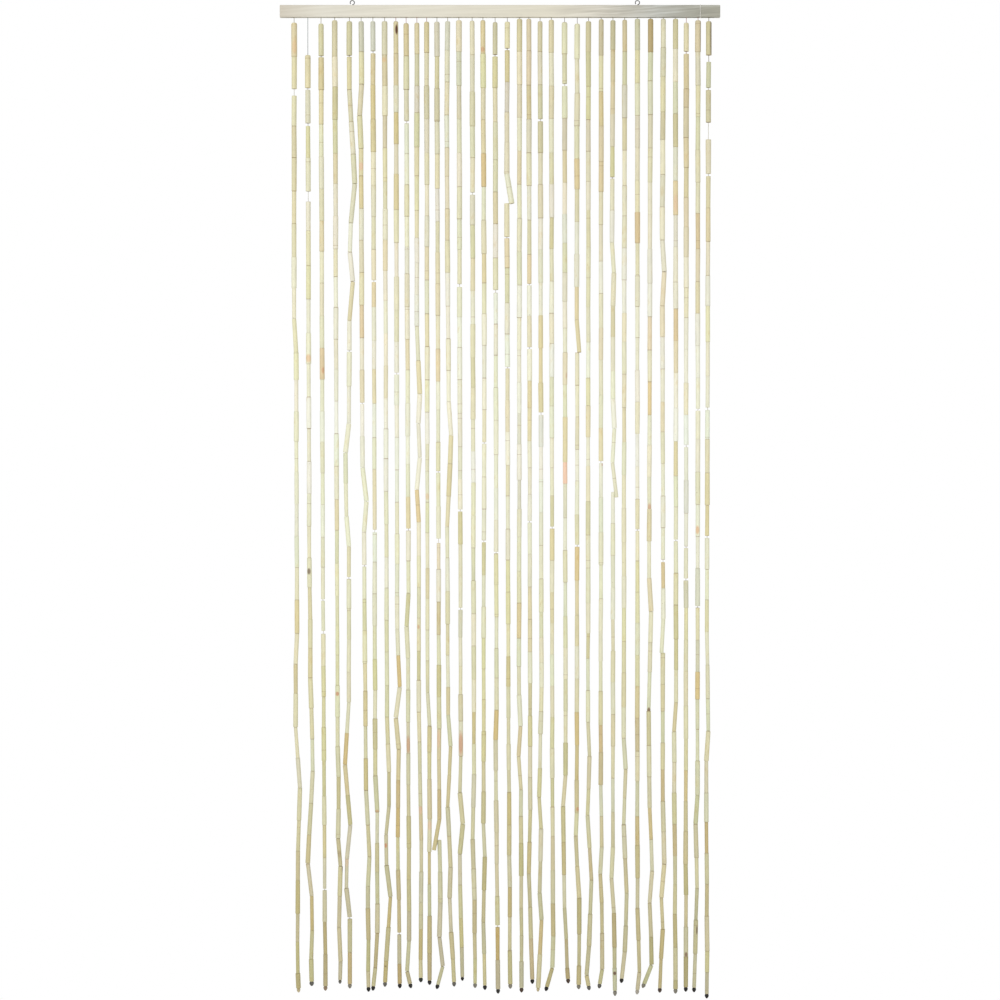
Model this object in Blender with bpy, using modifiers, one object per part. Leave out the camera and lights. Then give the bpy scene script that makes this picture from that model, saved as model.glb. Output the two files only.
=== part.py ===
"""A door curtain of bamboo tubes threaded on cords that hang from a wooden rail.

The origin is the middle of the rail's back face. +X runs along the rail, +Z is up, and the front
faces -Y. Each strand is a cord with its tubes and an end seed. The strands of each half are one
solid, fused at their roots into a narrow strip that lies in a groove in the rail's underside.
"""

import math
import random
from collections import namedtuple

import bmesh
import bpy
from mathutils import Matrix, Vector

MM = 0.001
CM = 0.01

# The rail
RAIL_LENGTH = 900 * MM
RAIL_HEIGHT = 25 * MM
RAIL_DEPTH = 12 * MM
RAIL_EDGE = 1.2 * MM
RAIL_UNDERSIDE = -RAIL_HEIGHT / 2
RAIL_TOP = RAIL_HEIGHT / 2
MIDDLE_Y = -RAIL_DEPTH / 2

# The groove in the rail's underside, and the root strips in it
GROOVE_LENGTH = 876 * MM
GROOVE_WIDTH = 5 * MM
GROOVE_DEEP = 5.5 * MM
CLEARANCE = 0.3 * MM
STRIP_RECESS = 0.9 * MM
STRIP_PARTING = 1.2 * MM

# The screw eyes
EYE_ACROSS = {"eye_left": -302 * MM, "eye_right": 281 * MM}
EYE_RING = 4.3 * MM
EYE_WIRE = 0.95 * MM
EYE_SHANK = 14 * MM
EYE_POINT = 3 * MM
RING_STEPS = 24
WIRE_STEPS = 8
SMOOTH_BELOW = math.radians(50)

# The cord that is tied over the rail's front
TIE_ACROSS = 409 * MM
TIE_THICK = 1.2 * MM
TIE_TUCK = 3.5 * MM
TIE_TURN_STEPS = 3

# The strands
CORD_THICK = 1.4 * MM
TUBE_LENGTH = 66 * MM
TUBE_LENGTH_SPREAD = 0.05
SPARE_SHARE = 0.3
TUBE_WIDTH = 8.7 * MM
TUBE_WIDTH_SPREAD = 1.2 * MM
TOP_TUBE_EXTRA = 2.2 * MM
TUBE_TAPER = 0.35 * MM
HAIR_GAP = 0.5 * MM
SHOWN_GAP = 2.5 * MM
SHOULDER = 0.4 * MM
NECK_LENGTH = 4 * MM
NECK_SHARE = 0.6
SEED_WIDTH = 7.6 * MM
SEED_LENGTH = 9.5 * MM
SEED_HEAD_SHARE = 0.36
SEED_WIDEST_AT = 0.36
SEED_TIP = 1.6 * MM
DEPTH_SWAY = 1.3 * MM
SIDE_TREMBLE = 0.35 * MM
LOWER_TREMBLE = 0.9 * MM
SMALLEST_STEP = 18 * MM
SNAP = 30 * MM
ASKEW_FORWARD = 5 * MM
ROOT_IN_STRIP = 1.6 * MM
RANDOM_START = 41
STRAND_SIDES = 3

# One row for each strand, left to right as seen from the front:
# across: its root from the rail's middle, mm. lead: bare cord above its first tube, mm.
# drop: its seed's tip below the rail, cm. end: how far the tip lies to the right of the root, mm.
Strand = namedtuple("Strand", "across lead drop end")
STRANDS = [
    Strand(-421, 11, 199.4, 9),
    Strand(-393, 77, 198.0, 8),
    Strand(-366, 13, 199.0, 9),
    Strand(-338, 6, 197.7, 11),
    Strand(-308, 8, 198.5, 1),
    Strand(-284, 8, 199.2, 15),
    Strand(-260, 8, 199.0, 1),
    Strand(-236, 8, 198.2, 1),
    Strand(-213, 8, 198.5, 8),
    Strand(-192, 12, 198.5, 8),
    Strand(-170, 11, 197.3, 8),
    Strand(-150, 9, 197.8, 6),
    Strand(-129, 9, 198.7, 2),
    Strand(-107, 8, 198.1, 13),
    Strand(-84, 6, 197.1, 7),
    Strand(-57, 7, 198.4, 6),
    Strand(-35, 6, 198.8, 4),
    Strand(-10, 10, 199.6, 6),
    Strand(15, 9, 198.6, 6),
    Strand(40, 3, 199.3, 4),
    Strand(59, 3, 197.6, 7),
    Strand(82, 8, 199.3, -4),
    Strand(105, 5, 199.1, -9),
    Strand(132, 10, 197.5, 7),
    Strand(158, 13, 198.7, 3),
    Strand(181, 8, 198.9, 0),
    Strand(207, 4, 198.5, -3),
    Strand(231, 6, 199.9, 4),
    Strand(255, 5, 197.4, -6),
    Strand(281, 3, 199.7, 0),
    Strand(308, 3, 198.5, -13),
    Strand(334, 3, 199.4, -7),
    Strand(359, 3, 199.6, 0),
    Strand(381, 11, 199.2, -1),
    Strand(405, 6, 199.3, -8),
    Strand(427, 8, 200.6, -4),
]

# Where a strand bends: (depth below the rail in cm, distance to the right of its root in mm).
BENDS = {
    1: ((62, 0), (68, 4), (126, 6), (132, 3), (145, 3), (158, 12), (171, 8), (189, 7)),
    2: ((111, 3), (123, 5), (135, 5), (147, 9), (154, 10), (173, 0), (179.5, 8),
        (186.5, 9), (192.5, 7)),
    3: ((119, 4), (152, 6)),
    4: ((119, 5), (149, 6), (155, 8), (167.5, 7), (173.5, 12), (186, 9), (193, 12)),
    5: ((15, 0), (28, 8), (34, 11), (42, 3), (48, 1), (54, 7), (62, 0), (83, -1), (89, -8),
        (102, -6), (108, -1), (140, -1), (152, -9), (165, 2), (172, -5), (177, -6), (184, 1)),
    6: ((14, 1), (20, -3), (27, 0), (92, 3), (99, 11), (105, 6), (158, 10), (171, 17),
        (177, 14)),
    7: ((54, 2), (155, 5), (163, 9), (187, 9), (194, 5)),
    8: ((143, 5), (154, 9), (161, 9), (167, 3), (173, 4), (180, 12), (186, 8)),
    9: ((125, 3), (136, 8), (143, 0), (149, 6), (167, 4), (187, 7)),
    10: ((118, 5), (125, 1), (131, 4), (189, 6), (195, 2)),
    11: ((63, 0), (77, 6), (82, 3), (90, 6), (96, 0), (103, 4), (142, 4), (169, 9)),
    12: ((138, 2), (145, 6)),
    13: ((164, 5), (168.2, 5), (181, 7), (188, 5), (194, 12)),
    14: ((20, -2), (79, 2), (85, 7), (91, 5), (104, -1), (142, 1), (149, 6), (161, 0),
         (174, 6), (180, 4), (187, 7)),
    15: ((151, 4), (158, 2), (165, 8), (171, 2), (184, 4)),
    16: ((155, 4), (168, 1), (181, 5)),
    17: ((67, 3), (165, 1), (172, 4), (185, 1)),
    18: ((141, 3), (148, 1)),
    19: ((32, -1), (38, -1), (152, 3)),
    20: ((138, -1), (145, 2), (151, -2), (158, 3)),
    21: ((164, 3), (175, 0)),
    22: ((137, 3), (159, -2), (166, 2), (179, -1), (185, 3)),
    23: ((157, 2), (187, 4), (194, 2)),
    24: ((155, 2), (161, -3), (182, 0)),
    25: ((62, -1), (69, 0), (163, -1), (167, -3), (180, 4)),
    26: ((144, -1), (151, 2), (163, -2), (176, 6), (190, 1), (196, -4)),
    27: ((157, -1), (169, 1), (175, -2), (182, 1), (195, 2)),
    28: ((46, -2), (53, 2), (59, 0), (78, 0), (84, 3), (91, -1), (97, 0), (169, 0),
         (176, -3), (183, 2)),
    29: ((147, -2), (154, 2), (165, -2), (179, 4), (191, 0)),
    30: ((182, 0), (195, 4)),
    31: ((114, -3), (121, 1), (140, -4), (162, -2), (175, 3), (181, -2), (188, 1), (194, 2)),
    32: ((45, -2), (52, 2), (59, -2), (123, 0), (130, -1), (160, -1), (173, 2), (180, -4),
         (187, -1)),
    33: ((140, 1), (146, -3)),
    35: ((159, -1), (166, -5), (178, -2)),
    36: ((125, -4), (146, -1), (152, -5), (164, -5), (191, -3)),
}

# Where bare cord shows between two tubes: (depth below the rail in cm, open length in mm).
GAPS = {
    1: ((15.3, 14),),
    2: ((14.6, 4), (21.9, 6), (36.6, 21)),
    3: ((8, 3), (119.1, 3), (125.7, 6), (178.3, 3)),
    5: ((7.9, 3), (68.2, 3), (114.6, 4), (184.1, 3)),
    6: ((78.9, 3), (112.1, 3)),
    7: ((7.1, 5), (53.9, 4), (105, 5)),
    9: ((72.8, 4), (187.3, 4)),
    10: ((21.4, 5), (104.7, 4)),
    13: ((92.9, 3), (107, 9)),
    15: ((54.8, 6), (100.8, 4), (120.9, 4)),
    16: ((36, 5),),
    17: ((87, 3), (107.1, 4)),
    18: ((7.8, 4), (56, 6), (109.4, 3), (185.8, 4)),
    19: ((6.5, 4), (45, 3), (71.6, 3)),
    21: ((54.6, 3), (67.6, 4), (103.1, 3)),
    22: ((21, 5), (81, 5)),
    23: ((104.3, 4),),
    24: ((13.8, 5),),
    25: ((108, 4),),
    27: ((90.9, 4),),
    28: ((32.8, 3),),
    30: ((104.8, 3),),
    32: ((111.1, 5),),
    33: ((106.9, 3),),
    34: ((7.2, 5), (87.6, 4), (108.3, 3), (114.9, 4)),
    35: ((80.2, 4), (120.5, 3)),
    36: ((8.4, 14), (14.6, 5), (23.2, 35), (32.2, 5), (80, 5), (106.2, 4)),
}

# Where two tubes meet, for the joints that are charted: depths below the rail, in cm.
JOINTS = {
    1: (8, 22.2, 28.7, 35.5, 55.3, 61.6, 68.4, 74.1, 99.5, 106, 119.1, 125.9, 132.2, 138.2,
        145.1, 157.5, 170.4, 176.4, 183.2, 189, 195.4),
    2: (28.7, 64.5, 70.8, 77.6, 110.5, 123, 128.9, 135, 141.2, 147.5, 154.1, 167.1, 172.9,
        179.6, 186.6, 192.5),
    3: (14.8, 41.6, 47.8, 61, 67.6, 74, 93.1, 99.6, 106.2, 112.4, 132.6, 159.2, 165.1, 171.8,
        184.9, 191.5),
    4: (8, 14.2, 20.9, 27.8, 34, 40.6, 47.3, 53, 78.4, 85.1, 118.3, 143, 155.3, 161.8, 167.8,
        173.5, 179.6),
    5: (14.8, 108.1, 120.9, 133.8, 140, 146.3, 152.8, 159, 165.1, 178, 191.1),
    6: (7, 13.7, 20.1, 26.8, 32.4, 39.1, 52.2, 58.8, 65.5, 72.1, 85.6, 92, 98.9, 105.2, 118.9,
        125.4, 132, 137.7, 144.9, 151.5, 158, 165.1, 171.6, 177.6, 182.1, 188.6, 195),
    7: (13.8, 20.8, 27.5, 40.7, 59.2, 66.1, 71.9, 78.9, 85.9, 99.1, 111.3, 131.2, 137.5, 143.4,
        149.6, 162.5, 168.8, 174.7, 181.2, 187.2, 194.3),
    8: (7.7, 14, 20.1, 26.7, 33.6, 39.1, 45.5, 51.8, 57.9, 71.2, 77.8, 90.2, 96.9, 110.3, 123.2,
        154.3, 161.2, 167.1, 173.3, 179.8, 186, 192.9),
    9: (7.4, 13.9, 19.4, 25.9, 32, 39.3, 53, 85.8, 99.1, 111.7, 118.3, 130.4, 136.9, 143.2,
        149.6, 155.9, 161.6, 167.6, 174.3, 180.4, 193.5),
    10: (7.9, 27.9, 40.7, 46.9, 52.4, 59.2, 65.8, 72.1, 85.6, 91.3, 98, 111.1, 117.7, 124.5,
         131, 144.1, 150.4, 156.9, 163.3, 169.8, 176.3, 182.7, 188.8, 195),
    11: (7.5, 14, 19.5, 26.5, 32.4, 39.5, 50.2, 56.7, 63.1, 70.2, 77, 83, 96.5, 103.2, 110.1,
         122.8, 129.5, 135.5, 148.1, 154.5, 161.3, 168.2, 174.7, 180.9, 186.4, 192.7),
    12: (7.2, 14, 20.8, 27.7, 34.2, 40.6, 46.9, 53.7, 60.6, 74.1, 87.2, 92.7, 99.1, 105.4,
         112.6, 118.8, 138.1, 144.9, 155.7, 163.9, 170.6, 177.2, 183.7, 191.3),
    13: (8, 35, 41.7, 54.4, 67.8, 74.4, 80.2, 86.8, 112.8, 119.5, 126.2, 132.4, 138.9, 145.4,
         151.8, 174.7),
    14: (13.2, 26.6, 32.5, 39.1, 45.6, 59, 78.6, 85.4, 91.2, 97.9, 104.1, 110.5, 136.9, 142.6,
         149, 154.9, 161.4, 167.3, 173.7, 187, 192.5),
    15: (7, 27.7, 34.6, 47.5, 80.9, 87.8, 94.4, 114.4, 132.6, 143.8, 151, 158.5, 164.9, 184.1),
    16: (7.7, 15.2, 22.2, 28.7, 62.7, 69.6, 75.7, 108.4, 135.3, 142, 148.5, 154.7, 168, 174,
         180.4, 187.2),
    17: (7.4, 14.4, 20.9, 27.8, 34.6, 48.3, 54.3, 93.9, 100.5, 114, 158.3, 164.8, 171.6, 178.4),
    18: (14.4, 21.4, 29.1, 35.7, 42.2, 49.2, 62.7, 75.7, 82.3, 89.4, 102.7, 116, 135, 141.6,
         147.7, 173.1, 192.7),
    19: (13.2, 19.4, 25.5, 51.2, 58.4, 64.9, 84.7, 97.8, 104.6, 110.9, 117.5, 130.6, 136.8,
         143.2, 153.9, 158.4, 165.1, 177.8, 183.9),
    20: (13.7, 20.5, 34.1, 54.7, 61.4, 68, 74.6, 80.9, 87.2, 94.6, 106.2, 113.2, 119.7, 126.9,
         138.5, 144.9, 151, 157.9, 168.8, 175.5, 182.1),
    21: (6.8, 13.9, 20.8, 27.7, 34.4, 41.4, 48.5, 61, 74.3, 79.8, 86.6, 116.4, 129.7, 136.1,
         142.8, 149, 162, 168.6, 175.1, 181.9, 188.4),
    22: (7, 27.7, 47.5, 60.9, 67.6, 74.7, 87.8, 94.4, 101.2, 107.9, 114.8, 121.6, 146.5, 153.5,
         159.4, 165.9, 179, 184.5, 191.5),
    23: (7.2, 20.7, 34.1, 40.9, 47.3, 66.7, 73.5, 79.4, 86, 97.8, 111, 117.5, 123.8, 143, 149.4,
         155.5, 161.4, 167.4, 174.3, 181.1, 187.8, 194.3),
    24: (7.5, 27.2, 33.8, 40.2, 52.2, 63.5, 68.5, 75.1, 81.7, 90.9, 95.3, 102.3, 115.5, 128.9,
         141.8, 148.3, 155, 161.3, 168.6, 175.3, 188.4, 194.4),
    25: (8.5, 15.5, 22.2, 28.9, 35.1, 41.8, 55.1, 61.8, 68.5, 81.7, 88.3, 94.8, 101.6, 115.1,
         122.2, 128.5, 142, 148.8, 155.9, 162.6, 167.3, 180, 187.4, 193.9),
    26: (7.1, 14.1, 27.4, 33.6, 39.4, 46.9, 59.2, 73.7, 79.4, 85.8, 91.7, 98.9, 105.8, 119.7,
         125.9, 131, 144.1, 151, 157.7, 163.1, 169.8, 176.3, 183.3, 189.8, 195.8),
    27: (15.2, 22.2, 29.5, 35.6, 42.4, 49.8, 63.5, 70, 77.2, 83.9, 111.9, 125.4, 137.7, 144.7,
         150.2, 156.9, 169.6, 175.1, 181, 187.2, 194.6),
    28: (6.6, 19.8, 52.2, 59, 65.3, 72.3, 103.4, 129.5, 135.9, 149, 155.5, 169.6, 176, 183.1,
         190.1),
    29: (7, 13.8, 27.1, 34.4, 40.6, 47.1, 53.7, 60.4, 66.3, 72.9, 79.8, 86.8, 100.3, 114.2,
         120.7, 127.5, 134, 141, 147.3, 153.7, 179, 185.7),
    30: (6.7, 13.4, 20.1, 26.6, 33.3, 39.8, 46.1, 59.1, 65.5, 72.1, 78.6, 85.1, 136.7, 143.2,
         150, 156.1, 163.3, 169.2, 175.9, 182.1, 195.2),
    31: (7.1, 13, 19.9, 33.7, 47.3, 54.3, 61.2, 68, 74.5, 81.3, 87.4, 100.5, 107.1, 114.6,
         121.4, 133.8, 141.8, 148.8, 161.6, 168, 174.5, 181, 188, 193.7),
    32: (6.2, 12.1, 19.3, 25, 32.1, 45.5, 52, 59, 71.9, 78.6, 84.7, 116.7, 129.9, 136.3, 141.8,
         148.3, 153.8, 160.2, 166.5, 173.1, 180, 186.4),
    33: (6.4, 19.7, 26.5, 33.4, 40.4, 46.9, 54.1, 59.6, 66.1, 72.7, 79.8, 93.7, 100.1, 113.6,
         120.1, 127.1, 133.4, 140, 146, 158.5, 164.9, 171.4, 177.2, 183.3, 190.1, 196.8),
    34: (14.6, 18.4, 61.4, 74.7, 94.6, 120.7, 147.5, 153.9, 160.2, 173.1, 179.4),
    35: (13.9, 20.3, 27.1, 33.7, 40.1, 47.3, 60.5, 67.1, 73.7, 86.2, 92.9, 99.6, 112.6, 127.3,
         133.8, 139.4, 152, 164.9, 171.8, 178, 184.5),
    36: (38.9, 52.8, 59, 66.3, 73.3, 86.2, 93.1, 99.7, 112.8, 125.6, 145.9, 152, 158.5, 164.5,
         170.8, 177.2, 183.7, 190.9),
}

# Tubes that are broader than the rest, or slimmer: a depth on the tube in cm, how much in mm.
BROADER = {
    1: ((197, 1.8),),
    3: ((12, 0.8),),
    4: ((18, 1.2),),
    7: ((196, -1.2),),
    12: ((168, -1.0), (173, -1.0)),
    13: ((167, -0.8),),
    17: ((31, 1.0),),
}

# Tubes that hang askew beside their cord: the depth of the tube's top in cm, then how far its
# foot lies to the right of the next tube's top, and below it, in mm.
Askew = namedtuple("Askew", "depth right below")
ASKEW = {
    13: Askew(164, -11, 20),
    19: Askew(32, 10, 1),
    25: Askew(62, 4, 0),
    28: Askew(91, 7, 11),
    32: Askew(123, -3, 0),
}

# One tube: the middles of its top and foot, its radius at each, and whether it hangs askew.
Tube = namedtuple("Tube", "top foot top_radius foot_radius askew")


def clear_scene():
    for obj in list(bpy.data.objects):
        bpy.data.objects.remove(obj)


def collection_named(name):
    made = bpy.data.collections.new(name)
    bpy.context.scene.collection.children.link(made)
    return made


def material(name, colour, roughness, metallic=0.0):
    made = bpy.data.materials.new(name)
    made.use_nodes = True
    shader = made.node_tree.nodes["Principled BSDF"]
    shader.inputs["Base Color"].default_value = (*colour, 1)
    shader.inputs["Roughness"].default_value = roughness
    shader.inputs["Metallic"].default_value = metallic
    return made


def placed(obj, collection, finish=None):
    collection.objects.link(obj)
    if finish:
        obj.data.materials.append(finish)
    return obj


def box(name, low, high, collection, finish=None):
    """A box between two corners, with its origin at its middle."""
    low, high = Vector(low), Vector(high)
    cells = bmesh.new()
    bmesh.ops.create_cube(cells, size=1)
    bmesh.ops.scale(cells, vec=high - low, verts=cells.verts)
    mesh = bpy.data.meshes.new(name)
    cells.to_mesh(mesh)
    cells.free()
    obj = placed(bpy.data.objects.new(name, mesh), collection, finish)
    obj.location = (low + high) / 2
    return obj


def as_cutter(obj):
    obj.hide_render = True
    obj.display_type = "WIRE"
    return obj


def boolean(obj, other, operation):
    modifier = obj.modifiers.new(other.name, "BOOLEAN")
    modifier.operation = operation
    modifier.object = other


def mesh_from(obj, collection):
    """Turns a curve object into a closed mesh object of the same name."""
    name, matrix = obj.name, obj.matrix_world.copy()
    bpy.context.view_layer.update()
    graph = bpy.context.evaluated_depsgraph_get()
    mesh = bpy.data.meshes.new_from_object(obj.evaluated_get(graph))
    bpy.data.objects.remove(obj)
    cells = bmesh.new()
    cells.from_mesh(mesh)
    bmesh.ops.remove_doubles(cells, verts=cells.verts, dist=0.02 * MM)
    bmesh.ops.recalc_face_normals(cells, faces=cells.faces)
    cells.to_mesh(mesh)
    cells.free()
    made = bpy.data.objects.new(name, mesh)
    made.matrix_world = matrix
    collection.objects.link(made)
    return made


# The strands' layout


def joint_near(found, depth):
    """The charted joint within a snap of a depth, or else a new one there."""
    near = min(found, key=lambda known: abs(known - depth), default=math.inf)
    if abs(near - depth) > SNAP:
        near = depth
        found[near] = [None, 0]
    return found[near]


def anchors_of(number):
    """The depths at which a strand is charted, in metres, each with its shift and its open gap."""
    found = {}
    for depth in JOINTS.get(number, ()):
        joint_near(found, depth * CM)
    for depth, gap in GAPS.get(number, ()):
        joint_near(found, depth * CM)[1] = gap * MM
    for depth, shift in BENDS.get(number, ()):
        joint_near(found, depth * CM)[0] = shift * MM
    return [(depth, *found[depth]) for depth in sorted(found)]


def stations_of(number, strand):
    """Every joint of a strand, from its first tube's top to its last tube's foot, as
    (depth, shift or None, gap). Between two charted depths lie as many tubes as fit, and one
    more where they would leave a spare share of a tube's length."""
    chance = random.Random(RANDOM_START + number)
    start = strand.lead * MM
    end = strand.drop * CM - SEED_LENGTH
    charted = [(start, 0, 0)]
    for depth, shift, gap in anchors_of(number):
        if depth - charted[-1][0] > SMALLEST_STEP and end - depth > SMALLEST_STEP:
            charted.append((depth, shift, gap))
    charted.append((end, strand.end * MM, 0))
    stations = [charted[0]]
    for above, below in zip(charted, charted[1:]):
        span = below[0] - above[0]
        filled = span - (above[2] + below[2]) / 2
        count = max(1, math.floor(filled / TUBE_LENGTH + 1 - SPARE_SHARE))
        shares = [1 + chance.uniform(-1, 1) * TUBE_LENGTH_SPREAD for _ in range(count)]
        depth = above[0]
        for share in shares[:-1]:
            depth += span * share / sum(shares)
            stations.append((depth, None, 0))
        stations.append(below)
    return stations


def shift_at(depth, stations):
    """How far right of its root the strand lies at a depth: straight between charted depths."""
    charted = [(at, shift) for at, shift, _ in stations if shift is not None]
    for (above, first), (below, second) in zip(charted, charted[1:]):
        if depth <= below:
            return first + (second - first) * (depth - above) / (below - above)
    return charted[-1][1]


def joints_of(number, strand):
    """The middle of every joint of a strand, and the open gap there."""
    chance = random.Random(RANDOM_START * 3 + number)
    stations = stations_of(number, strand)
    drop = strand.drop * CM
    lean = chance.uniform(0, math.tau)
    joints = []
    for depth, shift, gap in stations:
        low = depth / drop
        tremble = 0 if shift is not None else SIDE_TREMBLE + LOWER_TREMBLE * max(0, low - 0.6)
        across = shift_at(depth, stations) + chance.uniform(-1, 1) * tremble
        behind = DEPTH_SWAY * low * (math.sin(lean + 5 * low) + chance.uniform(-0.6, 0.6))
        place = Vector((strand.across * MM + across, MIDDLE_Y + behind, RAIL_UNDERSIDE - depth))
        joints.append((place, gap))
    return joints


def widths_of(number, strand, joints):
    """The width of each tube of a strand, and how much it narrows from its top to its foot."""
    chance = random.Random(RANDOM_START * 7 + number)
    widths = []
    for (place, _), (below, _) in zip(joints, joints[1:]):
        depth, foot = RAIL_UNDERSIDE - place.z, RAIL_UNDERSIDE - below.z
        width = TUBE_WIDTH + chance.uniform(-1, 1) * TUBE_WIDTH_SPREAD
        width += TOP_TUBE_EXTRA * (1 - depth / (strand.drop * CM)) ** 2
        width += sum(more * MM for at, more in BROADER.get(number, ()) if depth < at * CM < foot)
        widths.append((width, chance.uniform(-1, 1) * TUBE_TAPER))
    return widths


def tubes_of(number, strand):
    """The tubes of a strand. Each is shortened at its ends by the open gap, and at a bend by
    as much as keeps two stiff tubes from running into each other."""
    joints = joints_of(number, strand)
    slip = ASKEW.get(number)
    slipped = None
    if slip:
        level = RAIL_UNDERSIDE - slip.depth * CM
        slipped = min(range(len(joints) - 1), key=lambda index: abs(joints[index][0].z - level))
    tubes = []
    for index, (width, taper) in enumerate(widths_of(number, strand, joints)):
        (start, gap_above), (end, gap_below) = joints[index], joints[index + 1]
        along = (end - start).normalized()
        before = (start - joints[index - 1][0]).normalized() if index else along
        after = along
        if index + 2 < len(joints):
            after = (joints[index + 2][0] - end).normalized()
        above = HAIR_GAP / 2 + gap_above / 2 + width / 4 * before.angle(along)
        below = HAIR_GAP / 2 + gap_below / 2 + width / 4 * along.angle(after)
        top, foot = start + along * above, end - along * below
        if index == slipped:
            foot = end + Vector((slip.right * MM, -ASKEW_FORWARD, -slip.below * MM))
        radii = (width + taper) / 2, (width - taper) / 2
        tubes.append(Tube(top, foot, *radii, index == slipped))
    return tubes


# The solids of the strands


def section_guide(collection):
    """The outline that a strand is swept with: one flat side to the front, one corner behind."""
    curve = bpy.data.curves.new("strand_section", "CURVE")
    curve.dimensions = "2D"
    spline = curve.splines.new("POLY")
    spline.points.add(STRAND_SIDES - 1)
    for index, point in enumerate(spline.points):
        turn = math.tau * index / STRAND_SIDES + math.pi / 2
        point.co = (math.cos(turn), math.sin(turn), 0, 1)
    spline.use_cyclic_u = True
    return as_cutter(placed(bpy.data.objects.new("strand_section", curve), collection))


def swept_radius(radius):
    """The radius over the corners of a section whose flat front is as wide as the round one."""
    return radius / math.sin(math.pi / STRAND_SIDES)


def line_of(number, strand):
    """The points of a strand's sweep, each with its radius over the corners: bare cord, the
    first tube's tapered neck, tube, shoulder, cord or the next tube, and at the end the seed.
    A tube askew is left out."""
    cord = swept_radius(CORD_THICK / 2)
    tubes = [tube for tube in tubes_of(number, strand) if not tube.askew]
    root = Vector((strand.across * MM, MIDDLE_Y, RAIL_UNDERSIDE + STRIP_RECESS + ROOT_IN_STRIP))
    neck = tubes[0].top
    neck_radius = swept_radius(tubes[0].top_radius * NECK_SHARE)
    line = [(root, cord), (neck + Vector((0, 0, SHOULDER)), cord), (neck, neck_radius)]
    tubes[0] = tubes[0]._replace(top=neck + Vector((0, 0, -NECK_LENGTH)))
    for tube, after in zip(tubes, [*tubes[1:], None]):
        line.append((tube.top, swept_radius(tube.top_radius)))
        line.append((tube.foot, swept_radius(tube.foot_radius)))
        if after and (after.top - tube.foot).length > SHOWN_GAP:
            along = (after.top - tube.foot).normalized()
            line.append((tube.foot + along * SHOULDER, cord))
            line.append((after.top - along * SHOULDER, cord))
    last = tubes[-1]
    along = (last.foot - last.top).normalized()
    line.append((last.foot + along * SHOULDER, swept_radius(SEED_WIDTH * SEED_HEAD_SHARE)))
    line.append((last.foot + along * SEED_LENGTH * SEED_WIDEST_AT, swept_radius(SEED_WIDTH / 2)))
    line.append((last.foot + along * SEED_LENGTH, swept_radius(SEED_TIP / 2)))
    return line


def askew_lines(numbers):
    """The sweeps of the tubes that hang askew beside their cords."""
    lines = []
    for number in numbers:
        for tube in tubes_of(number, STRANDS[number - 1]):
            if tube.askew:
                top, foot = swept_radius(tube.top_radius), swept_radius(tube.foot_radius)
                lines.append([(tube.top, top), (tube.foot, foot)])
    return lines


def root_strip(name, low_x, high_x, collection, finish):
    """The narrow strip that the roots of one half's strands are fused into."""
    half = GROOVE_WIDTH / 2 - CLEARANCE
    low = (low_x, MIDDLE_Y - half, RAIL_UNDERSIDE + STRIP_RECESS)
    high = (high_x, MIDDLE_Y + half, RAIL_UNDERSIDE + GROOVE_DEEP - CLEARANCE)
    return box(name, low, high, collection, finish)


def swept(name, lines, section, collection):
    """A mesh object with one closed sweep of the section along each line."""
    curve = bpy.data.curves.new(name, "CURVE")
    curve.dimensions = "3D"
    curve.bevel_mode = "OBJECT"
    curve.bevel_object = section
    curve.use_fill_caps = True
    for line in lines:
        spline = curve.splines.new("POLY")
        spline.points.add(len(line) - 1)
        for point, (place, radius) in zip(spline.points, line):
            point.co = (*place, 1)
            point.radius = radius
    sweep = placed(bpy.data.objects.new(name, curve), collection)
    return as_cutter(mesh_from(sweep, collection))


def half_of_strands(name, numbers, low_x, high_x, section, parts, cutters, finish):
    """The strands with these numbers and their root strip, as one solid."""
    strip = root_strip(name, low_x, high_x, parts, finish)
    chains = [line_of(number, STRANDS[number - 1]) for number in numbers]
    boolean(strip, swept(name + "_chains", chains, section, cutters), "UNION")
    askew = askew_lines(numbers)
    boolean(strip, swept(name + "_askew", askew, section, cutters), "UNION")


def strands(parts, cutters):
    bamboo = material("pale_bamboo", (0.72, 0.62, 0.38), 0.5)
    section = section_guide(cutters)
    middle = len(STRANDS) // 2
    reach = GROOVE_LENGTH / 2 - CLEARANCE
    left, right = range(1, middle + 1), range(middle + 1, len(STRANDS) + 1)
    parting = STRIP_PARTING / 2
    half_of_strands("strands_left", left, -reach, -parting, section, parts, cutters, bamboo)
    half_of_strands("strands_right", right, parting, reach, section, parts, cutters, bamboo)


# The rail and what is fitted to it


def rail(parts, cutters):
    wood = material("whitewood", (0.78, 0.72, 0.58), 0.6)
    low = (-RAIL_LENGTH / 2, -RAIL_DEPTH, RAIL_UNDERSIDE)
    high = (RAIL_LENGTH / 2, 0, RAIL_TOP)
    bar = box("rail", low, high, parts, wood)
    bevel = bar.modifiers.new("eased_edges", "BEVEL")
    bevel.width = RAIL_EDGE
    bevel.segments = 2
    groove = box(
        "groove",
        (-GROOVE_LENGTH / 2, MIDDLE_Y - GROOVE_WIDTH / 2, RAIL_UNDERSIDE - GROOVE_DEEP),
        (GROOVE_LENGTH / 2, MIDDLE_Y + GROOVE_WIDTH / 2, RAIL_UNDERSIDE + GROOVE_DEEP),
        cutters,
    )
    boolean(bar, as_cutter(groove), "DIFFERENCE")
    for name, across in EYE_ACROSS.items():
        hole = turned(
            name + "_hole",
            [
                (EYE_WIRE + CLEARANCE, EYE_SHANK),
                (EYE_WIRE + CLEARANCE, -EYE_SHANK + EYE_POINT / 2),
                (0, -EYE_SHANK - CLEARANCE),
            ],
            cutters,
        )
        hole.location = (across, MIDDLE_Y, RAIL_TOP)
        boolean(bar, as_cutter(hole), "DIFFERENCE")


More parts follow.
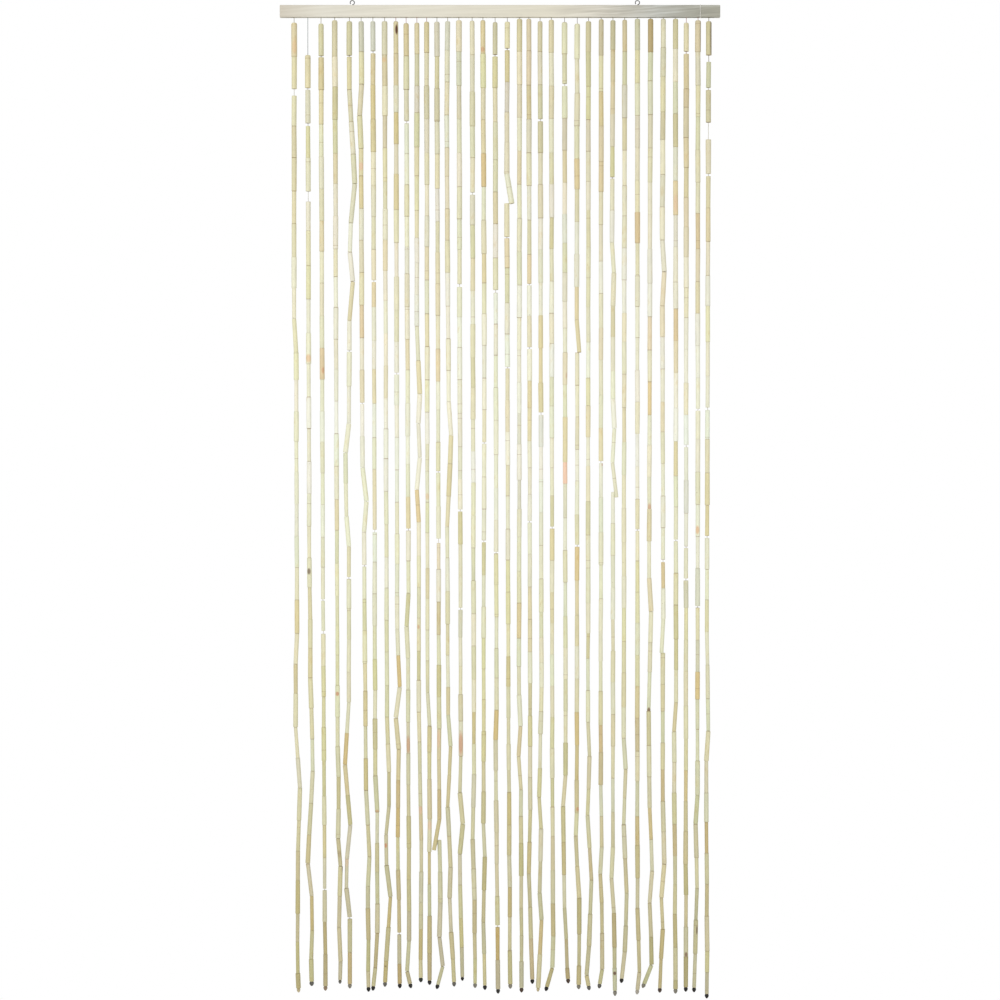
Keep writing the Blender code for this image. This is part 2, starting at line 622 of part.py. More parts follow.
def turned(name, profile, collection):
    """A turned solid about Z, from (radius, height) points that run down its outer side."""
    mesh = bpy.data.meshes.new(name)
    points = [(0, 0, profile[0][1])] + [(radius, 0, height) for radius, height in profile]
    edges = [(index, index + 1) for index in range(len(points) - 1)]
    mesh.from_pydata(points, edges, [])
    obj = placed(bpy.data.objects.new(name, mesh), collection)
    screw = obj.modifiers.new("turn", "SCREW")
    screw.steps = screw.render_steps = WIRE_STEPS
    screw.use_merge_vertices = True
    screw.merge_threshold = 0.00001
    return obj


def screw_eye(name, parts, cutters, steel):
    """A ring of wire that faces the front, on a shank that stands in the rail's top."""
    bpy.ops.mesh.primitive_torus_add(
        major_radius=EYE_RING,
        minor_radius=EYE_WIRE,
        major_segments=RING_STEPS,
        minor_segments=WIRE_STEPS,
    )
    ring = bpy.context.object
    for collection in list(ring.users_collection):
        collection.objects.unlink(ring)
    placed(ring, parts, steel)
    ring.name = name
    ring.data.transform(Matrix.Rotation(math.pi / 2, 4, "X"))
    ring.data.shade_smooth()
    ring.data.set_sharp_from_angle(angle=SMOOTH_BELOW)
    ring.location = (EYE_ACROSS[name], MIDDLE_Y, RAIL_TOP + CLEARANCE + EYE_WIRE + EYE_RING)
    shank = turned(
        name + "_shank",
        [
            (EYE_WIRE, CLEARANCE + EYE_WIRE),
            (EYE_WIRE, -EYE_SHANK + EYE_POINT),
            (0, -EYE_SHANK),
        ],
        cutters,
    )
    shank.location = (EYE_ACROSS[name], MIDDLE_Y, RAIL_TOP)
    boolean(ring, as_cutter(shank), "UNION")


def tie_path():
    """The tie's middle line in (y, z): from under the rail round its front to its top."""
    off = TIE_THICK / 2 + CLEARANCE
    turn = RAIL_EDGE + off
    front, top, under = -RAIL_DEPTH - off, RAIL_TOP + off, RAIL_UNDERSIDE - off
    path = [(MIDDLE_Y - TIE_TUCK, under)]
    for step in range(TIE_TURN_STEPS + 1):
        angle = math.pi / 2 * step / TIE_TURN_STEPS
        path.append((front + turn - turn * math.sin(angle), under + turn - turn * math.cos(angle)))
    for step in range(TIE_TURN_STEPS + 1):
        angle = math.pi / 2 * step / TIE_TURN_STEPS
        path.append((front + turn - turn * math.cos(angle), top - turn + turn * math.sin(angle)))
    path.append((MIDDLE_Y, top))
    return path


def tie_cord(parts):
    """A short cord tied over the rail near its right end."""
    curve = bpy.data.curves.new("tie_cord", "CURVE")
    curve.dimensions = "3D"
    curve.bevel_depth = TIE_THICK / 2
    curve.bevel_resolution = 1
    curve.use_fill_caps = True
    spline = curve.splines.new("POLY")
    path = tie_path()
    spline.points.add(len(path) - 1)
    for point, (along_y, up) in zip(spline.points, path):
        point.co = (TIE_ACROSS, along_y, up, 1)
    spline.use_smooth = True
    thread = material("white_thread", (0.85, 0.85, 0.82), 0.6)
    placed(bpy.data.objects.new("tie_cord", curve), parts, thread)


def main():
    clear_scene()
    parts = collection_named("bamboo_door_curtain")
    cutters = collection_named("cutters")
    steel = material("bright_steel", (0.6, 0.6, 0.6), 0.3, 1.0)
    rail(parts, cutters)
    for name in EYE_ACROSS:
        screw_eye(name, parts, cutters, steel)
    tie_cord(parts)
    strands(parts, cutters)


main()
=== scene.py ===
"""The look of a door curtain: bamboo tubes on cords under a wooden rail, with seeds at their ends.

The script is laid out as a Blender add-on. +X runs along the rail, +Z is up, and the front faces
-Y. The origin is the middle of the rail's back face.
"""

import math
import random
from collections import namedtuple

import bmesh
import bpy
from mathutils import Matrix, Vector


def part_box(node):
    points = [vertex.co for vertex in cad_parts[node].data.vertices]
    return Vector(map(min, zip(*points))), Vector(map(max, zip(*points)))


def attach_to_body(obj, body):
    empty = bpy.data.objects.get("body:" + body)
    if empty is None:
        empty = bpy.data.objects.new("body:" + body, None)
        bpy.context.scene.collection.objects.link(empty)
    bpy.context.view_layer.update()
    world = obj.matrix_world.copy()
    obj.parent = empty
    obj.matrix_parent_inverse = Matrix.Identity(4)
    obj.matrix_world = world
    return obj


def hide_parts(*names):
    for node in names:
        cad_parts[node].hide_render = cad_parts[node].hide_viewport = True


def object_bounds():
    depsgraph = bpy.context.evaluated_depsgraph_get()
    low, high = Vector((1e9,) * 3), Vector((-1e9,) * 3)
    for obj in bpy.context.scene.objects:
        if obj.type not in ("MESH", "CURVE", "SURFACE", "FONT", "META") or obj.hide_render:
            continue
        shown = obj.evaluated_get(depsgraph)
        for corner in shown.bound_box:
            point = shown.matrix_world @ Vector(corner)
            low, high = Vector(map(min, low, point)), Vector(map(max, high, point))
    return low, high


bl_info = {
    "name": "Bamboo door curtain",
    "version": (1, 0, 0),
    "blender": (4, 5, 0),
    "location": "3D View > Sidebar > Curtain",
    "description": "Threads a door curtain of bamboo tubes under its rail",
    "category": "Object",
}

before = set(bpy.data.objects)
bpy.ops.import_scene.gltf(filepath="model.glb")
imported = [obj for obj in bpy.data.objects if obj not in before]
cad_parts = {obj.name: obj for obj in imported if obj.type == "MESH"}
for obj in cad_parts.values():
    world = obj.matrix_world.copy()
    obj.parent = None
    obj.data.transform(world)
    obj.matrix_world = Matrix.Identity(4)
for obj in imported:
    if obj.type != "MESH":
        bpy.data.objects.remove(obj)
CAD_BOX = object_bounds()

MM = 0.001
CM = 0.01
BODY = "root"
STRAND_NODES = ("strands_left", "strands_right")

# The rail, as the frame gives it
RAIL_LOW, RAIL_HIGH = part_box("rail")
RAIL_UNDERSIDE = RAIL_LOW.z
RAIL_TOP = RAIL_HIGH.z
MIDDLE_Y = (RAIL_LOW.y + RAIL_HIGH.y) / 2

# The layout of the strands, which the solids of the part follow too. Between two charted joints
# a further tube is threaded where at least the spare share of its length is left open.
TUBE_LENGTH = 66 * MM
TUBE_LENGTH_SPREAD = 0.05
SPARE_SHARE = 0.3
HAIR_GAP = 0.12 * MM
SEED_LENGTH = 9.5 * MM

# The tubes are wider near the rail, by an extra that fades down the strand with this power, and
# each is a little wider at one end.
TUBE_WIDTH = 8.5 * MM
TUBE_WIDTH_SPREAD = 1.2 * MM
TOP_TUBE_EXTRA = 2.5 * MM
EXTRA_FADE = 3
TUBE_TAPER = 0.35 * MM

# The strands sway in depth, in a wave of this many radians and by chance. They tremble sideways
# too, and more so below a share of their drop.
DEPTH_SWAY = 1.3 * MM
SWAY_TURN = 5
SWAY_CHANCE = 0.6
SIDE_TREMBLE = 0.35 * MM
LOWER_TREMBLE = 0.9 * MM
TREMBLE_FROM = 0.6

# Charted joints lie more than the smallest step apart, and a gap or a bend within the snap of a
# joint belongs to it. A tube that hangs askew has its foot this far in front of its strand.
SMALLEST_STEP = 18 * MM
SNAP = 30 * MM
ASKEW_FORWARD = 5 * MM

# What the seeded chance starts from: for the joints' depths and places, the tubes' widths, and
# the tones of the tubes and of the cords
JOINTS_START = 41
PLACES_START = 123
WIDTHS_START = 287
TUBE_TONES_START = 7
CORD_TONES_START = 21

# One row for each strand, left to right as seen from the front:
# across: its root from the rail's middle, mm. lead: bare cord above its first tube, mm.
# drop: its seed's tip below the rail, cm. end: how far the tip lies to the right of the root, mm.
Strand = namedtuple("Strand", "across lead drop end")
STRANDS = [
    Strand(-421, 11, 199.4, 9),
    Strand(-393, 77, 198.0, 8),
    Strand(-366, 13, 199.0, 9),
    Strand(-338, 6, 197.7, 11),
    Strand(-308, 8, 198.5, 1),
    Strand(-284, 8, 199.2, 15),
    Strand(-260, 8, 199.0, 1),
    Strand(-236, 8, 198.2, 1),
    Strand(-213, 8, 198.5, 8),
    Strand(-192, 12, 198.5, 8),
    Strand(-170, 11, 197.3, 8),
    Strand(-150, 9, 197.8, 6),
    Strand(-129, 9, 198.7, 2),
    Strand(-107, 8, 198.1, 13),
    Strand(-84, 6, 197.1, 7),
    Strand(-57, 7, 198.4, 6),
    Strand(-35, 6, 198.8, 4),
    Strand(-10, 10, 199.6, 6),
    Strand(15, 9, 198.6, 6),
    Strand(40, 3, 199.3, 4),
    Strand(59, 3, 197.6, 7),
    Strand(82, 8, 199.3, -4),
    Strand(105, 5, 199.1, -9),
    Strand(132, 10, 197.5, 7),
    Strand(158, 13, 198.7, 3),
    Strand(181, 8, 198.9, 0),
    Strand(207, 4, 198.5, -3),
    Strand(231, 6, 199.9, 4),
    Strand(255, 5, 197.4, -6),
    Strand(281, 3, 199.7, 0),
    Strand(308, 3, 198.5, -13),
    Strand(334, 3, 199.4, -7),
    Strand(359, 3, 199.6, 0),
    Strand(381, 11, 199.2, -1),
    Strand(405, 6, 199.3, -8),
    Strand(427, 8, 200.6, -4),
]

# Where a strand bends: (depth below the rail in cm, distance to the right of its root in mm).
BENDS = {
    1: ((62, 0), (68, 4), (126, 6), (132, 3), (145, 3), (158, 12), (171, 8), (189, 7)),
    2: ((111, 3), (123, 5), (135, 5), (147, 9), (154, 10), (173, 0), (179.5, 8),
        (186.5, 9), (192.5, 7)),
    3: ((119, 4), (152, 6)),
    4: ((119, 5), (149, 6), (155, 8), (167.5, 7), (173.5, 12), (186, 9), (193, 12)),
    5: ((15, 0), (28, 8), (34, 11), (42, 3), (48, 1), (54, 7), (62, 0), (83, -1), (89, -8),
        (102, -6), (108, -1), (140, -1), (152, -9), (165, 2), (172, -5), (177, -6), (184, 1)),
    6: ((14, 1), (20, -3), (27, 0), (92, 3), (99, 11), (105, 6), (158, 10), (171, 17),
        (177, 14)),
    7: ((54, 2), (155, 5), (163, 9), (187, 9), (194, 5)),
    8: ((143, 5), (154, 9), (161, 9), (167, 3), (173, 4), (180, 12), (186, 8)),
    9: ((125, 3), (136, 8), (143, 0), (149, 6), (167, 4), (187, 7)),
    10: ((118, 5), (125, 1), (131, 4), (189, 6), (195, 2)),
    11: ((63, 0), (77, 6), (82, 3), (90, 6), (96, 0), (103, 4), (142, 4), (169, 9)),
    12: ((138, 2), (145, 6)),
    13: ((164, 5), (168.2, 5), (181, 7), (188, 5), (194, 12)),
    14: ((20, -2), (79, 2), (85, 7), (91, 5), (104, -1), (142, 1), (149, 6), (161, 0),
         (174, 6), (180, 4), (187, 7)),
    15: ((151, 4), (158, 2), (165, 8), (171, 2), (184, 4)),
    16: ((155, 4), (168, 1), (181, 5)),
    17: ((67, 3), (165, 1), (172, 4), (185, 1)),
    18: ((141, 3), (148, 1)),
    19: ((32, -1), (38, -1), (152, 3)),
    20: ((138, -1), (145, 2), (151, -2), (158, 3)),
    21: ((164, 3), (175, 0)),
    22: ((137, 3), (159, -2), (166, 2), (179, -1), (185, 3)),
    23: ((157, 2), (187, 4), (194, 2)),
    24: ((155, 2), (161, -3), (182, 0)),
    25: ((62, -1), (69, 0), (163, -1), (167, -3), (180, 4)),
    26: ((144, -1), (151, 2), (163, -2), (176, 6), (190, 1), (196, -4)),
    27: ((157, -1), (169, 1), (175, -2), (182, 1), (195, 2)),
    28: ((46, -2), (53, 2), (59, 0), (78, 0), (84, 3), (91, -1), (97, 0), (169, 0),
         (176, -3), (183, 2)),
    29: ((147, -2), (154, 2), (165, -2), (179, 4), (191, 0)),
    30: ((182, 0), (195, 4)),
    31: ((114, -3), (121, 1), (140, -4), (162, -2), (175, 3), (181, -2), (188, 1), (194, 2)),
    32: ((45, -2), (52, 2), (59, -2), (123, 0), (130, -1), (160, -1), (173, 2), (180, -4),
         (187, -1)),
    33: ((140, 1), (146, -3)),
    35: ((159, -1), (166, -5), (178, -2)),
    36: ((125, -4), (146, -1), (152, -5), (164, -5), (191, -3)),
}

# Where bare cord shows between two tubes: (depth below the rail in cm, open length in mm).
GAPS = {
    1: ((15.3, 14),),
    2: ((14.6, 4), (21.9, 6), (36.6, 21)),
    3: ((8, 3), (119.1, 3), (125.7, 6), (178.3, 3)),
    5: ((7.9, 3), (68.2, 3), (114.6, 4), (184.1, 3)),
    6: ((78.9, 3), (112.1, 3)),
    7: ((7.1, 5), (53.9, 4), (105, 5)),
    9: ((72.8, 4), (187.3, 4)),
    10: ((21.4, 5), (104.7, 4)),
    13: ((92.9, 3), (107, 9)),
    15: ((54.8, 6), (100.8, 4), (120.9, 4)),
    16: ((36, 5),),
    17: ((87, 3), (107.1, 4)),
    18: ((7.8, 4), (56, 6), (109.4, 3), (185.8, 4)),
    19: ((6.5, 4), (45, 3), (71.6, 3)),
    21: ((54.6, 3), (67.6, 4), (103.1, 3)),
    22: ((21, 5), (81, 5)),
    23: ((104.3, 4),),
    24: ((13.8, 5),),
    25: ((108, 4),),
    27: ((90.9, 4),),
    28: ((32.8, 3),),
    30: ((104.8, 3),),
    32: ((111.1, 5),),
    33: ((106.9, 3),),
    34: ((7.2, 5), (87.6, 4), (108.3, 3), (114.9, 4)),
    35: ((80.2, 4), (120.5, 3)),
    36: ((8.4, 14), (14.6, 5), (23.2, 35), (32.2, 5), (80, 5), (106.2, 4)),
}

# Where two tubes meet, for the joints that are charted: depths below the rail, in cm.
JOINTS = {
    1: (8, 22.2, 28.7, 35.5, 55.3, 61.6, 68.4, 74.1, 99.5, 106, 119.1, 125.9, 132.2, 138.2,
        145.1, 157.5, 170.4, 176.4, 183.2, 189, 195.4),
    2: (28.7, 64.5, 70.8, 77.6, 110.5, 123, 128.9, 135, 141.2, 147.5, 154.1, 167.1, 172.9,
        179.6, 186.6, 192.5),
    3: (14.8, 41.6, 47.8, 61, 67.6, 74, 93.1, 99.6, 106.2, 112.4, 132.6, 159.2, 165.1, 171.8,
        184.9, 191.5),
    4: (8, 14.2, 20.9, 27.8, 34, 40.6, 47.3, 53, 78.4, 85.1, 118.3, 143, 155.3, 161.8, 167.8,
        173.5, 179.6),
    5: (14.8, 108.1, 120.9, 133.8, 140, 146.3, 152.8, 159, 165.1, 178, 191.1),
    6: (7, 13.7, 20.1, 26.8, 32.4, 39.1, 52.2, 58.8, 65.5, 72.1, 85.6, 92, 98.9, 105.2, 118.9,
        125.4, 132, 137.7, 144.9, 151.5, 158, 165.1, 171.6, 177.6, 182.1, 188.6, 195),
    7: (13.8, 20.8, 27.5, 40.7, 59.2, 66.1, 71.9, 78.9, 85.9, 99.1, 111.3, 131.2, 137.5, 143.4,
        149.6, 162.5, 168.8, 174.7, 181.2, 187.2, 194.3),
    8: (7.7, 14, 20.1, 26.7, 33.6, 39.1, 45.5, 51.8, 57.9, 71.2, 77.8, 90.2, 96.9, 110.3, 123.2,
        154.3, 161.2, 167.1, 173.3, 179.8, 186, 192.9),
    9: (7.4, 13.9, 19.4, 25.9, 32, 39.3, 53, 85.8, 99.1, 111.7, 118.3, 130.4, 136.9, 143.2,
        149.6, 155.9, 161.6, 167.6, 174.3, 180.4, 193.5),
    10: (7.9, 27.9, 40.7, 46.9, 52.4, 59.2, 65.8, 72.1, 85.6, 91.3, 98, 111.1, 117.7, 124.5,
         131, 144.1, 150.4, 156.9, 163.3, 169.8, 176.3, 182.7, 188.8, 195),
    11: (7.5, 14, 19.5, 26.5, 32.4, 39.5, 50.2, 56.7, 63.1, 70.2, 77, 83, 96.5, 103.2, 110.1,
         122.8, 129.5, 135.5, 148.1, 154.5, 161.3, 168.2, 174.7, 180.9, 186.4, 192.7),
    12: (7.2, 14, 20.8, 27.7, 34.2, 40.6, 46.9, 53.7, 60.6, 74.1, 87.2, 92.7, 99.1, 105.4,
         112.6, 118.8, 138.1, 144.9, 155.7, 163.9, 170.6, 177.2, 183.7, 191.3),
    13: (8, 35, 41.7, 54.4, 67.8, 74.4, 80.2, 86.8, 112.8, 119.5, 126.2, 132.4, 138.9, 145.4,
         151.8, 174.7),
    14: (13.2, 26.6, 32.5, 39.1, 45.6, 59, 78.6, 85.4, 91.2, 97.9, 104.1, 110.5, 136.9, 142.6,
         149, 154.9, 161.4, 167.3, 173.7, 187, 192.5),
    15: (7, 27.7, 34.6, 47.5, 80.9, 87.8, 94.4, 114.4, 132.6, 143.8, 151, 158.5, 164.9, 184.1),
    16: (7.7, 15.2, 22.2, 28.7, 62.7, 69.6, 75.7, 108.4, 135.3, 142, 148.5, 154.7, 168, 174,
         180.4, 187.2),
    17: (7.4, 14.4, 20.9, 27.8, 34.6, 48.3, 54.3, 93.9, 100.5, 114, 158.3, 164.8, 171.6, 178.4),
    18: (14.4, 21.4, 29.1, 35.7, 42.2, 49.2, 62.7, 75.7, 82.3, 89.4, 102.7, 116, 135, 141.6,
         147.7, 173.1, 192.7),
    19: (13.2, 19.4, 25.5, 51.2, 58.4, 64.9, 84.7, 97.8, 104.6, 110.9, 117.5, 130.6, 136.8,
         143.2, 153.9, 158.4, 165.1, 177.8, 183.9),
    20: (13.7, 20.5, 34.1, 54.7, 61.4, 68, 74.6, 80.9, 87.2, 94.6, 106.2, 113.2, 119.7, 126.9,
         138.5, 144.9, 151, 157.9, 168.8, 175.5, 182.1),
    21: (6.8, 13.9, 20.8, 27.7, 34.4, 41.4, 48.5, 61, 74.3, 79.8, 86.6, 116.4, 129.7, 136.1,
         142.8, 149, 162, 168.6, 175.1, 181.9, 188.4),
    22: (7, 27.7, 47.5, 60.9, 67.6, 74.7, 87.8, 94.4, 101.2, 107.9, 114.8, 121.6, 146.5, 153.5,
         159.4, 165.9, 179, 184.5, 191.5),
    23: (7.2, 20.7, 34.1, 40.9, 47.3, 66.7, 73.5, 79.4, 86, 97.8, 111, 117.5, 123.8, 143, 149.4,
         155.5, 161.4, 167.4, 174.3, 181.1, 187.8, 194.3),
    24: (7.5, 27.2, 33.8, 40.2, 52.2, 63.5, 68.5, 75.1, 81.7, 90.9, 95.3, 102.3, 115.5, 128.9,
         141.8, 148.3, 155, 161.3, 168.6, 175.3, 188.4, 194.4),
    25: (8.5, 15.5, 22.2, 28.9, 35.1, 41.8, 55.1, 61.8, 68.5, 81.7, 88.3, 94.8, 101.6, 115.1,
         122.2, 128.5, 142, 148.8, 155.9, 162.6, 167.3, 180, 187.4, 193.9),
    26: (7.1, 14.1, 27.4, 33.6, 39.4, 46.9, 59.2, 73.7, 79.4, 85.8, 91.7, 98.9, 105.8, 119.7,
         125.9, 131, 144.1, 151, 157.7, 163.1, 169.8, 176.3, 183.3, 189.8, 195.8),
    27: (15.2, 22.2, 29.5, 35.6, 42.4, 49.8, 63.5, 70, 77.2, 83.9, 111.9, 125.4, 137.7, 144.7,
         150.2, 156.9, 169.6, 175.1, 181, 187.2, 194.6),
    28: (6.6, 19.8, 52.2, 59, 65.3, 72.3, 103.4, 129.5, 135.9, 149, 155.5, 169.6, 176, 183.1,
         190.1),
    29: (7, 13.8, 27.1, 34.4, 40.6, 47.1, 53.7, 60.4, 66.3, 72.9, 79.8, 86.8, 100.3, 114.2,
         120.7, 127.5, 134, 141, 147.3, 153.7, 179, 185.7),
    30: (6.7, 13.4, 20.1, 26.6, 33.3, 39.8, 46.1, 59.1, 65.5, 72.1, 78.6, 85.1, 136.7, 143.2,
         150, 156.1, 163.3, 169.2, 175.9, 182.1, 195.2),
    31: (7.1, 13, 19.9, 33.7, 47.3, 54.3, 61.2, 68, 74.5, 81.3, 87.4, 100.5, 107.1, 114.6,
         121.4, 133.8, 141.8, 148.8, 161.6, 168, 174.5, 181, 188, 193.7),
    32: (6.2, 12.1, 19.3, 25, 32.1, 45.5, 52, 59, 71.9, 78.6, 84.7, 116.7, 129.9, 136.3, 141.8,
         148.3, 153.8, 160.2, 166.5, 173.1, 180, 186.4),
    33: (6.4, 19.7, 26.5, 33.4, 40.4, 46.9, 54.1, 59.6, 66.1, 72.7, 79.8, 93.7, 100.1, 113.6,
         120.1, 127.1, 133.4, 140, 146, 158.5, 164.9, 171.4, 177.2, 183.3, 190.1, 196.8),
    34: (14.6, 18.4, 61.4, 74.7, 94.6, 120.7, 147.5, 153.9, 160.2, 173.1, 179.4),
    35: (13.9, 20.3, 27.1, 33.7, 40.1, 47.3, 60.5, 67.1, 73.7, 86.2, 92.9, 99.6, 112.6, 127.3,
         133.8, 139.4, 152, 164.9, 171.8, 178, 184.5),
    36: (38.9, 52.8, 59, 66.3, 73.3, 86.2, 93.1, 99.7, 112.8, 125.6, 145.9, 152, 158.5, 164.5,
         170.8, 177.2, 183.7, 190.9),
}

# Tubes that are broader than the rest, or slimmer: a depth on the tube in cm, how much in mm.
BROADER = {
    1: ((197, 1.8),),
    3: ((12, 0.8),),
    4: ((18, 1.2),),
    7: ((196, -1.2),),
    12: ((168, -1.0), (173, -1.0)),
    13: ((167, -0.8),),
    17: ((31, 1.0),),
}

# Tubes that hang askew beside their cord: the depth of the tube's top in cm, then how far its
# foot lies to the right of the next tube's top, and below it, in mm.
Askew = namedtuple("Askew", "depth right below")
ASKEW = {
    13: Askew(164, -11, 20),
    19: Askew(32, 10, 1),
    25: Askew(62, 4, 0),
    28: Askew(91, 7, 11),
    32: Askew(123, -3, 0),
}

# One joint of a strand: its depth below the rail, how far it lies to the right of the root, or
# None where that isn't charted, and the open gap there, in metres
Station = namedtuple("Station", "depth shift gap")

# One tube: the middles of its top and foot, its radius at each, and whether it hangs askew
Tube = namedtuple("Tube", "top foot top_radius foot_radius askew")


def shade(red, green, blue):
    """A colour as a screen shows it, each part 0 to 255, as the linear values of a shader."""
    return tuple(
        part / 12.92 if part <= 0.04045 else ((part + 0.055) / 1.055) ** 2.4
        for part in (red / 255, green / 255, blue / 255)
    )


# How the tubes that stand out differ from the common tone: shares of its red, green and blue
TONES = {
    "golden": (0.93, 0.85, 0.67),
    "tan": (0.96, 0.89, 0.79),
    "orange": (0.98, 0.86, 0.70),
    "amber": (0.94, 0.77, 0.53),
    "bronze": (0.70, 0.58, 0.41),
    "khaki": (0.86, 0.83, 0.68),
    "lime": (0.97, 0.96, 0.80),
    "rust": (0.89, 0.75, 0.59),
    "brown": (0.87, 0.79, 0.68),
    "pink": (1.00, 0.91, 0.88),
    "salmon": (1.11, 0.76, 0.69),
    "grey": (0.89, 0.90, 0.97),
}

# The tubes that stand out on each strand: (depths of the first one's top and the last one's
# foot in cm, tone).
TINTS = {
    1: ((1, 8, "tan"), (62, 74, "lime"), (119, 126, "golden"), (132, 138, "brown"),
        (170, 176, "tan"), (176, 183, "golden"), (195, 199, "khaki")),
    2: ((44, 57, "lime"), (114, 123, "tan"), (129, 135, "tan"), (167, 173, "tan"),
        (180, 187, "orange")),
    3: ((8, 15, "golden"), (42, 48, "tan"), (68, 74, "rust"), (133, 153, "lime"),
        (185, 191, "brown"), (191, 198, "brown")),
    4: ((14, 21, "khaki"), (28, 34, "tan"), (99, 106, "tan"), (155, 162, "khaki")),
    5: ((55, 61, "tan"), (146, 153, "amber"), (153, 159, "tan"), (159, 165, "khaki"),
        (191, 198, "orange")),
    6: ((32, 39, "golden"), (59, 65, "rust"), (72, 79, "tan"), (138, 145, "golden"),
        (151, 158, "golden"), (182, 189, "tan")),
    7: ((7, 14, "tan"), (14, 28, "golden"), (54, 59, "orange"), (72, 79, "tan"),
        (94, 105, "tan"), (131, 137, "lime"), (143, 150, "khaki"), (187, 194, "tan")),
    8: ((8, 14, "tan"), (45, 52, "tan"), (71, 78, "tan"), (154, 161, "khaki"),
        (180, 186, "golden"), (193, 197, "golden")),
    9: ((1, 7, "tan"), (7, 14, "tan"), (19, 26, "golden"), (32, 39, "golden"),
        (130, 137, "amber"), (143, 156, "tan"), (156, 162, "rust"), (162, 168, "amber"),
        (174, 187, "tan"), (194, 198, "rust")),
    10: ((1, 8, "tan"), (66, 72, "tan"), (98, 105, "golden"), (118, 125, "khaki"),
         (163, 170, "khaki")),
    11: ((1, 8, "tan"), (70, 77, "golden"), (97, 103, "amber"), (130, 135, "khaki"),
         (161, 168, "tan"), (186, 193, "golden")),
    12: ((1, 7, "tan"), (47, 54, "tan"), (113, 119, "tan"), (156, 164, "tan"),
         (171, 177, "golden"), (184, 191, "tan"), (191, 197, "brown")),
    13: ((54, 61, "tan"), (68, 74, "orange"), (107, 113, "pink"), (119, 126, "brown"),
         (132, 139, "khaki"), (145, 152, "tan"), (152, 158, "tan"), (158, 164, "rust"),
         (164, 169, "golden")),
    14: ((39, 46, "tan"), (85, 91, "golden"), (91, 98, "golden"), (98, 104, "tan"),
         (137, 143, "tan"), (149, 161, "tan")),
    15: ((101, 108, "khaki"), (121, 127, "grey")),
    16: ((70, 76, "khaki"), (142, 149, "golden"), (180, 187, "tan")),
    17: ((1, 7, "tan"), (21, 28, "tan"), (28, 35, "amber"), (48, 54, "golden"),
         (107, 114, "khaki"), (127, 152, "lime"), (158, 165, "khaki"), (171, 178, "khaki")),
    18: ((8, 14, "lime"), (36, 42, "tan"), (109, 123, "lime"), (141, 148, "amber"),
         (186, 193, "amber")),
    19: ((45, 51, "tan"), (72, 85, "tan"), (111, 124, "lime"), (130, 137, "golden"),
         (158, 165, "golden"), (178, 184, "golden")),
    20: ((27, 34, "tan"), (81, 87, "grey"), (94, 100, "grey"), (120, 127, "orange"),
         (145, 151, "pink"), (169, 175, "khaki")),
    21: ((0, 7, "pink"), (7, 14, "pink"), (14, 21, "tan"), (48, 55, "orange"),
         (74, 87, "golden"), (116, 130, "tan"), (136, 143, "khaki"), (169, 175, "golden"),
         (188, 196, "pink")),
    22: ((61, 81, "golden"), (81, 88, "grey"), (153, 159, "lime"), (184, 191, "orange")),
    23: ((41, 47, "khaki"), (98, 104, "khaki"), (104, 111, "golden"), (117, 124, "tan"),
         (181, 188, "tan"), (194, 198, "khaki")),
    24: ((27, 34, "tan"), (68, 75, "tan"), (82, 91, "golden"), (91, 95, "salmon"),
         (148, 155, "khaki"), (169, 175, "golden"), (194, 197, "brown")),
    25: ((29, 35, "orange"), (55, 62, "golden"), (62, 69, "golden"), (108, 115, "amber"),
         (115, 122, "tan"), (122, 129, "tan"), (142, 149, "amber"), (149, 156, "golden"),
         (156, 163, "tan"), (180, 187, "khaki"), (194, 198, "tan")),
    26: ((74, 79, "lime"), (79, 86, "golden"), (99, 106, "khaki"), (126, 131, "khaki"),
         (170, 176, "tan")),
    27: ((15, 22, "golden"), (22, 30, "pink"), (30, 36, "orange"), (64, 70, "tan"),
         (84, 91, "golden"), (145, 150, "rust"), (150, 157, "brown")),
    28: ((7, 20, "tan"), (59, 65, "khaki"), (183, 190, "brown")),
    29: ((0, 7, "tan"), (73, 87, "tan"), (121, 127, "lime")),
    30: ((40, 46, "rust"), (112, 124, "lime"), (137, 143, "tan"), (143, 150, "brown"),
         (163, 169, "orange"), (169, 176, "tan"), (182, 189, "tan")),
    31: ((0, 7, "bronze"), (61, 68, "pink"), (75, 81, "amber"), (100, 107, "tan"),
         (115, 121, "tan"), (142, 149, "khaki"), (162, 168, "orange"), (188, 194, "khaki")),
    32: ((52, 65, "tan"), (79, 85, "tan"), (111, 117, "rust"), (136, 142, "tan"),
         (154, 160, "rust"), (186, 193, "golden"), (193, 199, "tan")),
    33: ((20, 27, "khaki"), (33, 40, "orange"), (60, 66, "rust"), (66, 73, "tan"),
         (87, 94, "golden"), (120, 127, "khaki"), (127, 133, "khaki"), (140, 146, "tan"),
         (165, 171, "brown"), (183, 190, "khaki")),
    34: ((7, 15, "tan"), (15, 18, "brown"), (18, 40, "tan"), (95, 101, "grey"),
         (115, 121, "grey"), (121, 127, "lime"), (154, 160, "orange"), (166, 173, "tan"),
         (192, 198, "khaki")),
    35: ((0, 7, "pink"), (40, 47, "rust"), (47, 60, "tan"), (113, 120, "grey"),
         (127, 134, "grey"), (134, 139, "amber")),
    36: ((0, 8, "khaki"), (39, 46, "tan"), (59, 66, "lime"), (93, 106, "golden"),
         (164, 171, "rust"), (177, 184, "tan")),
}

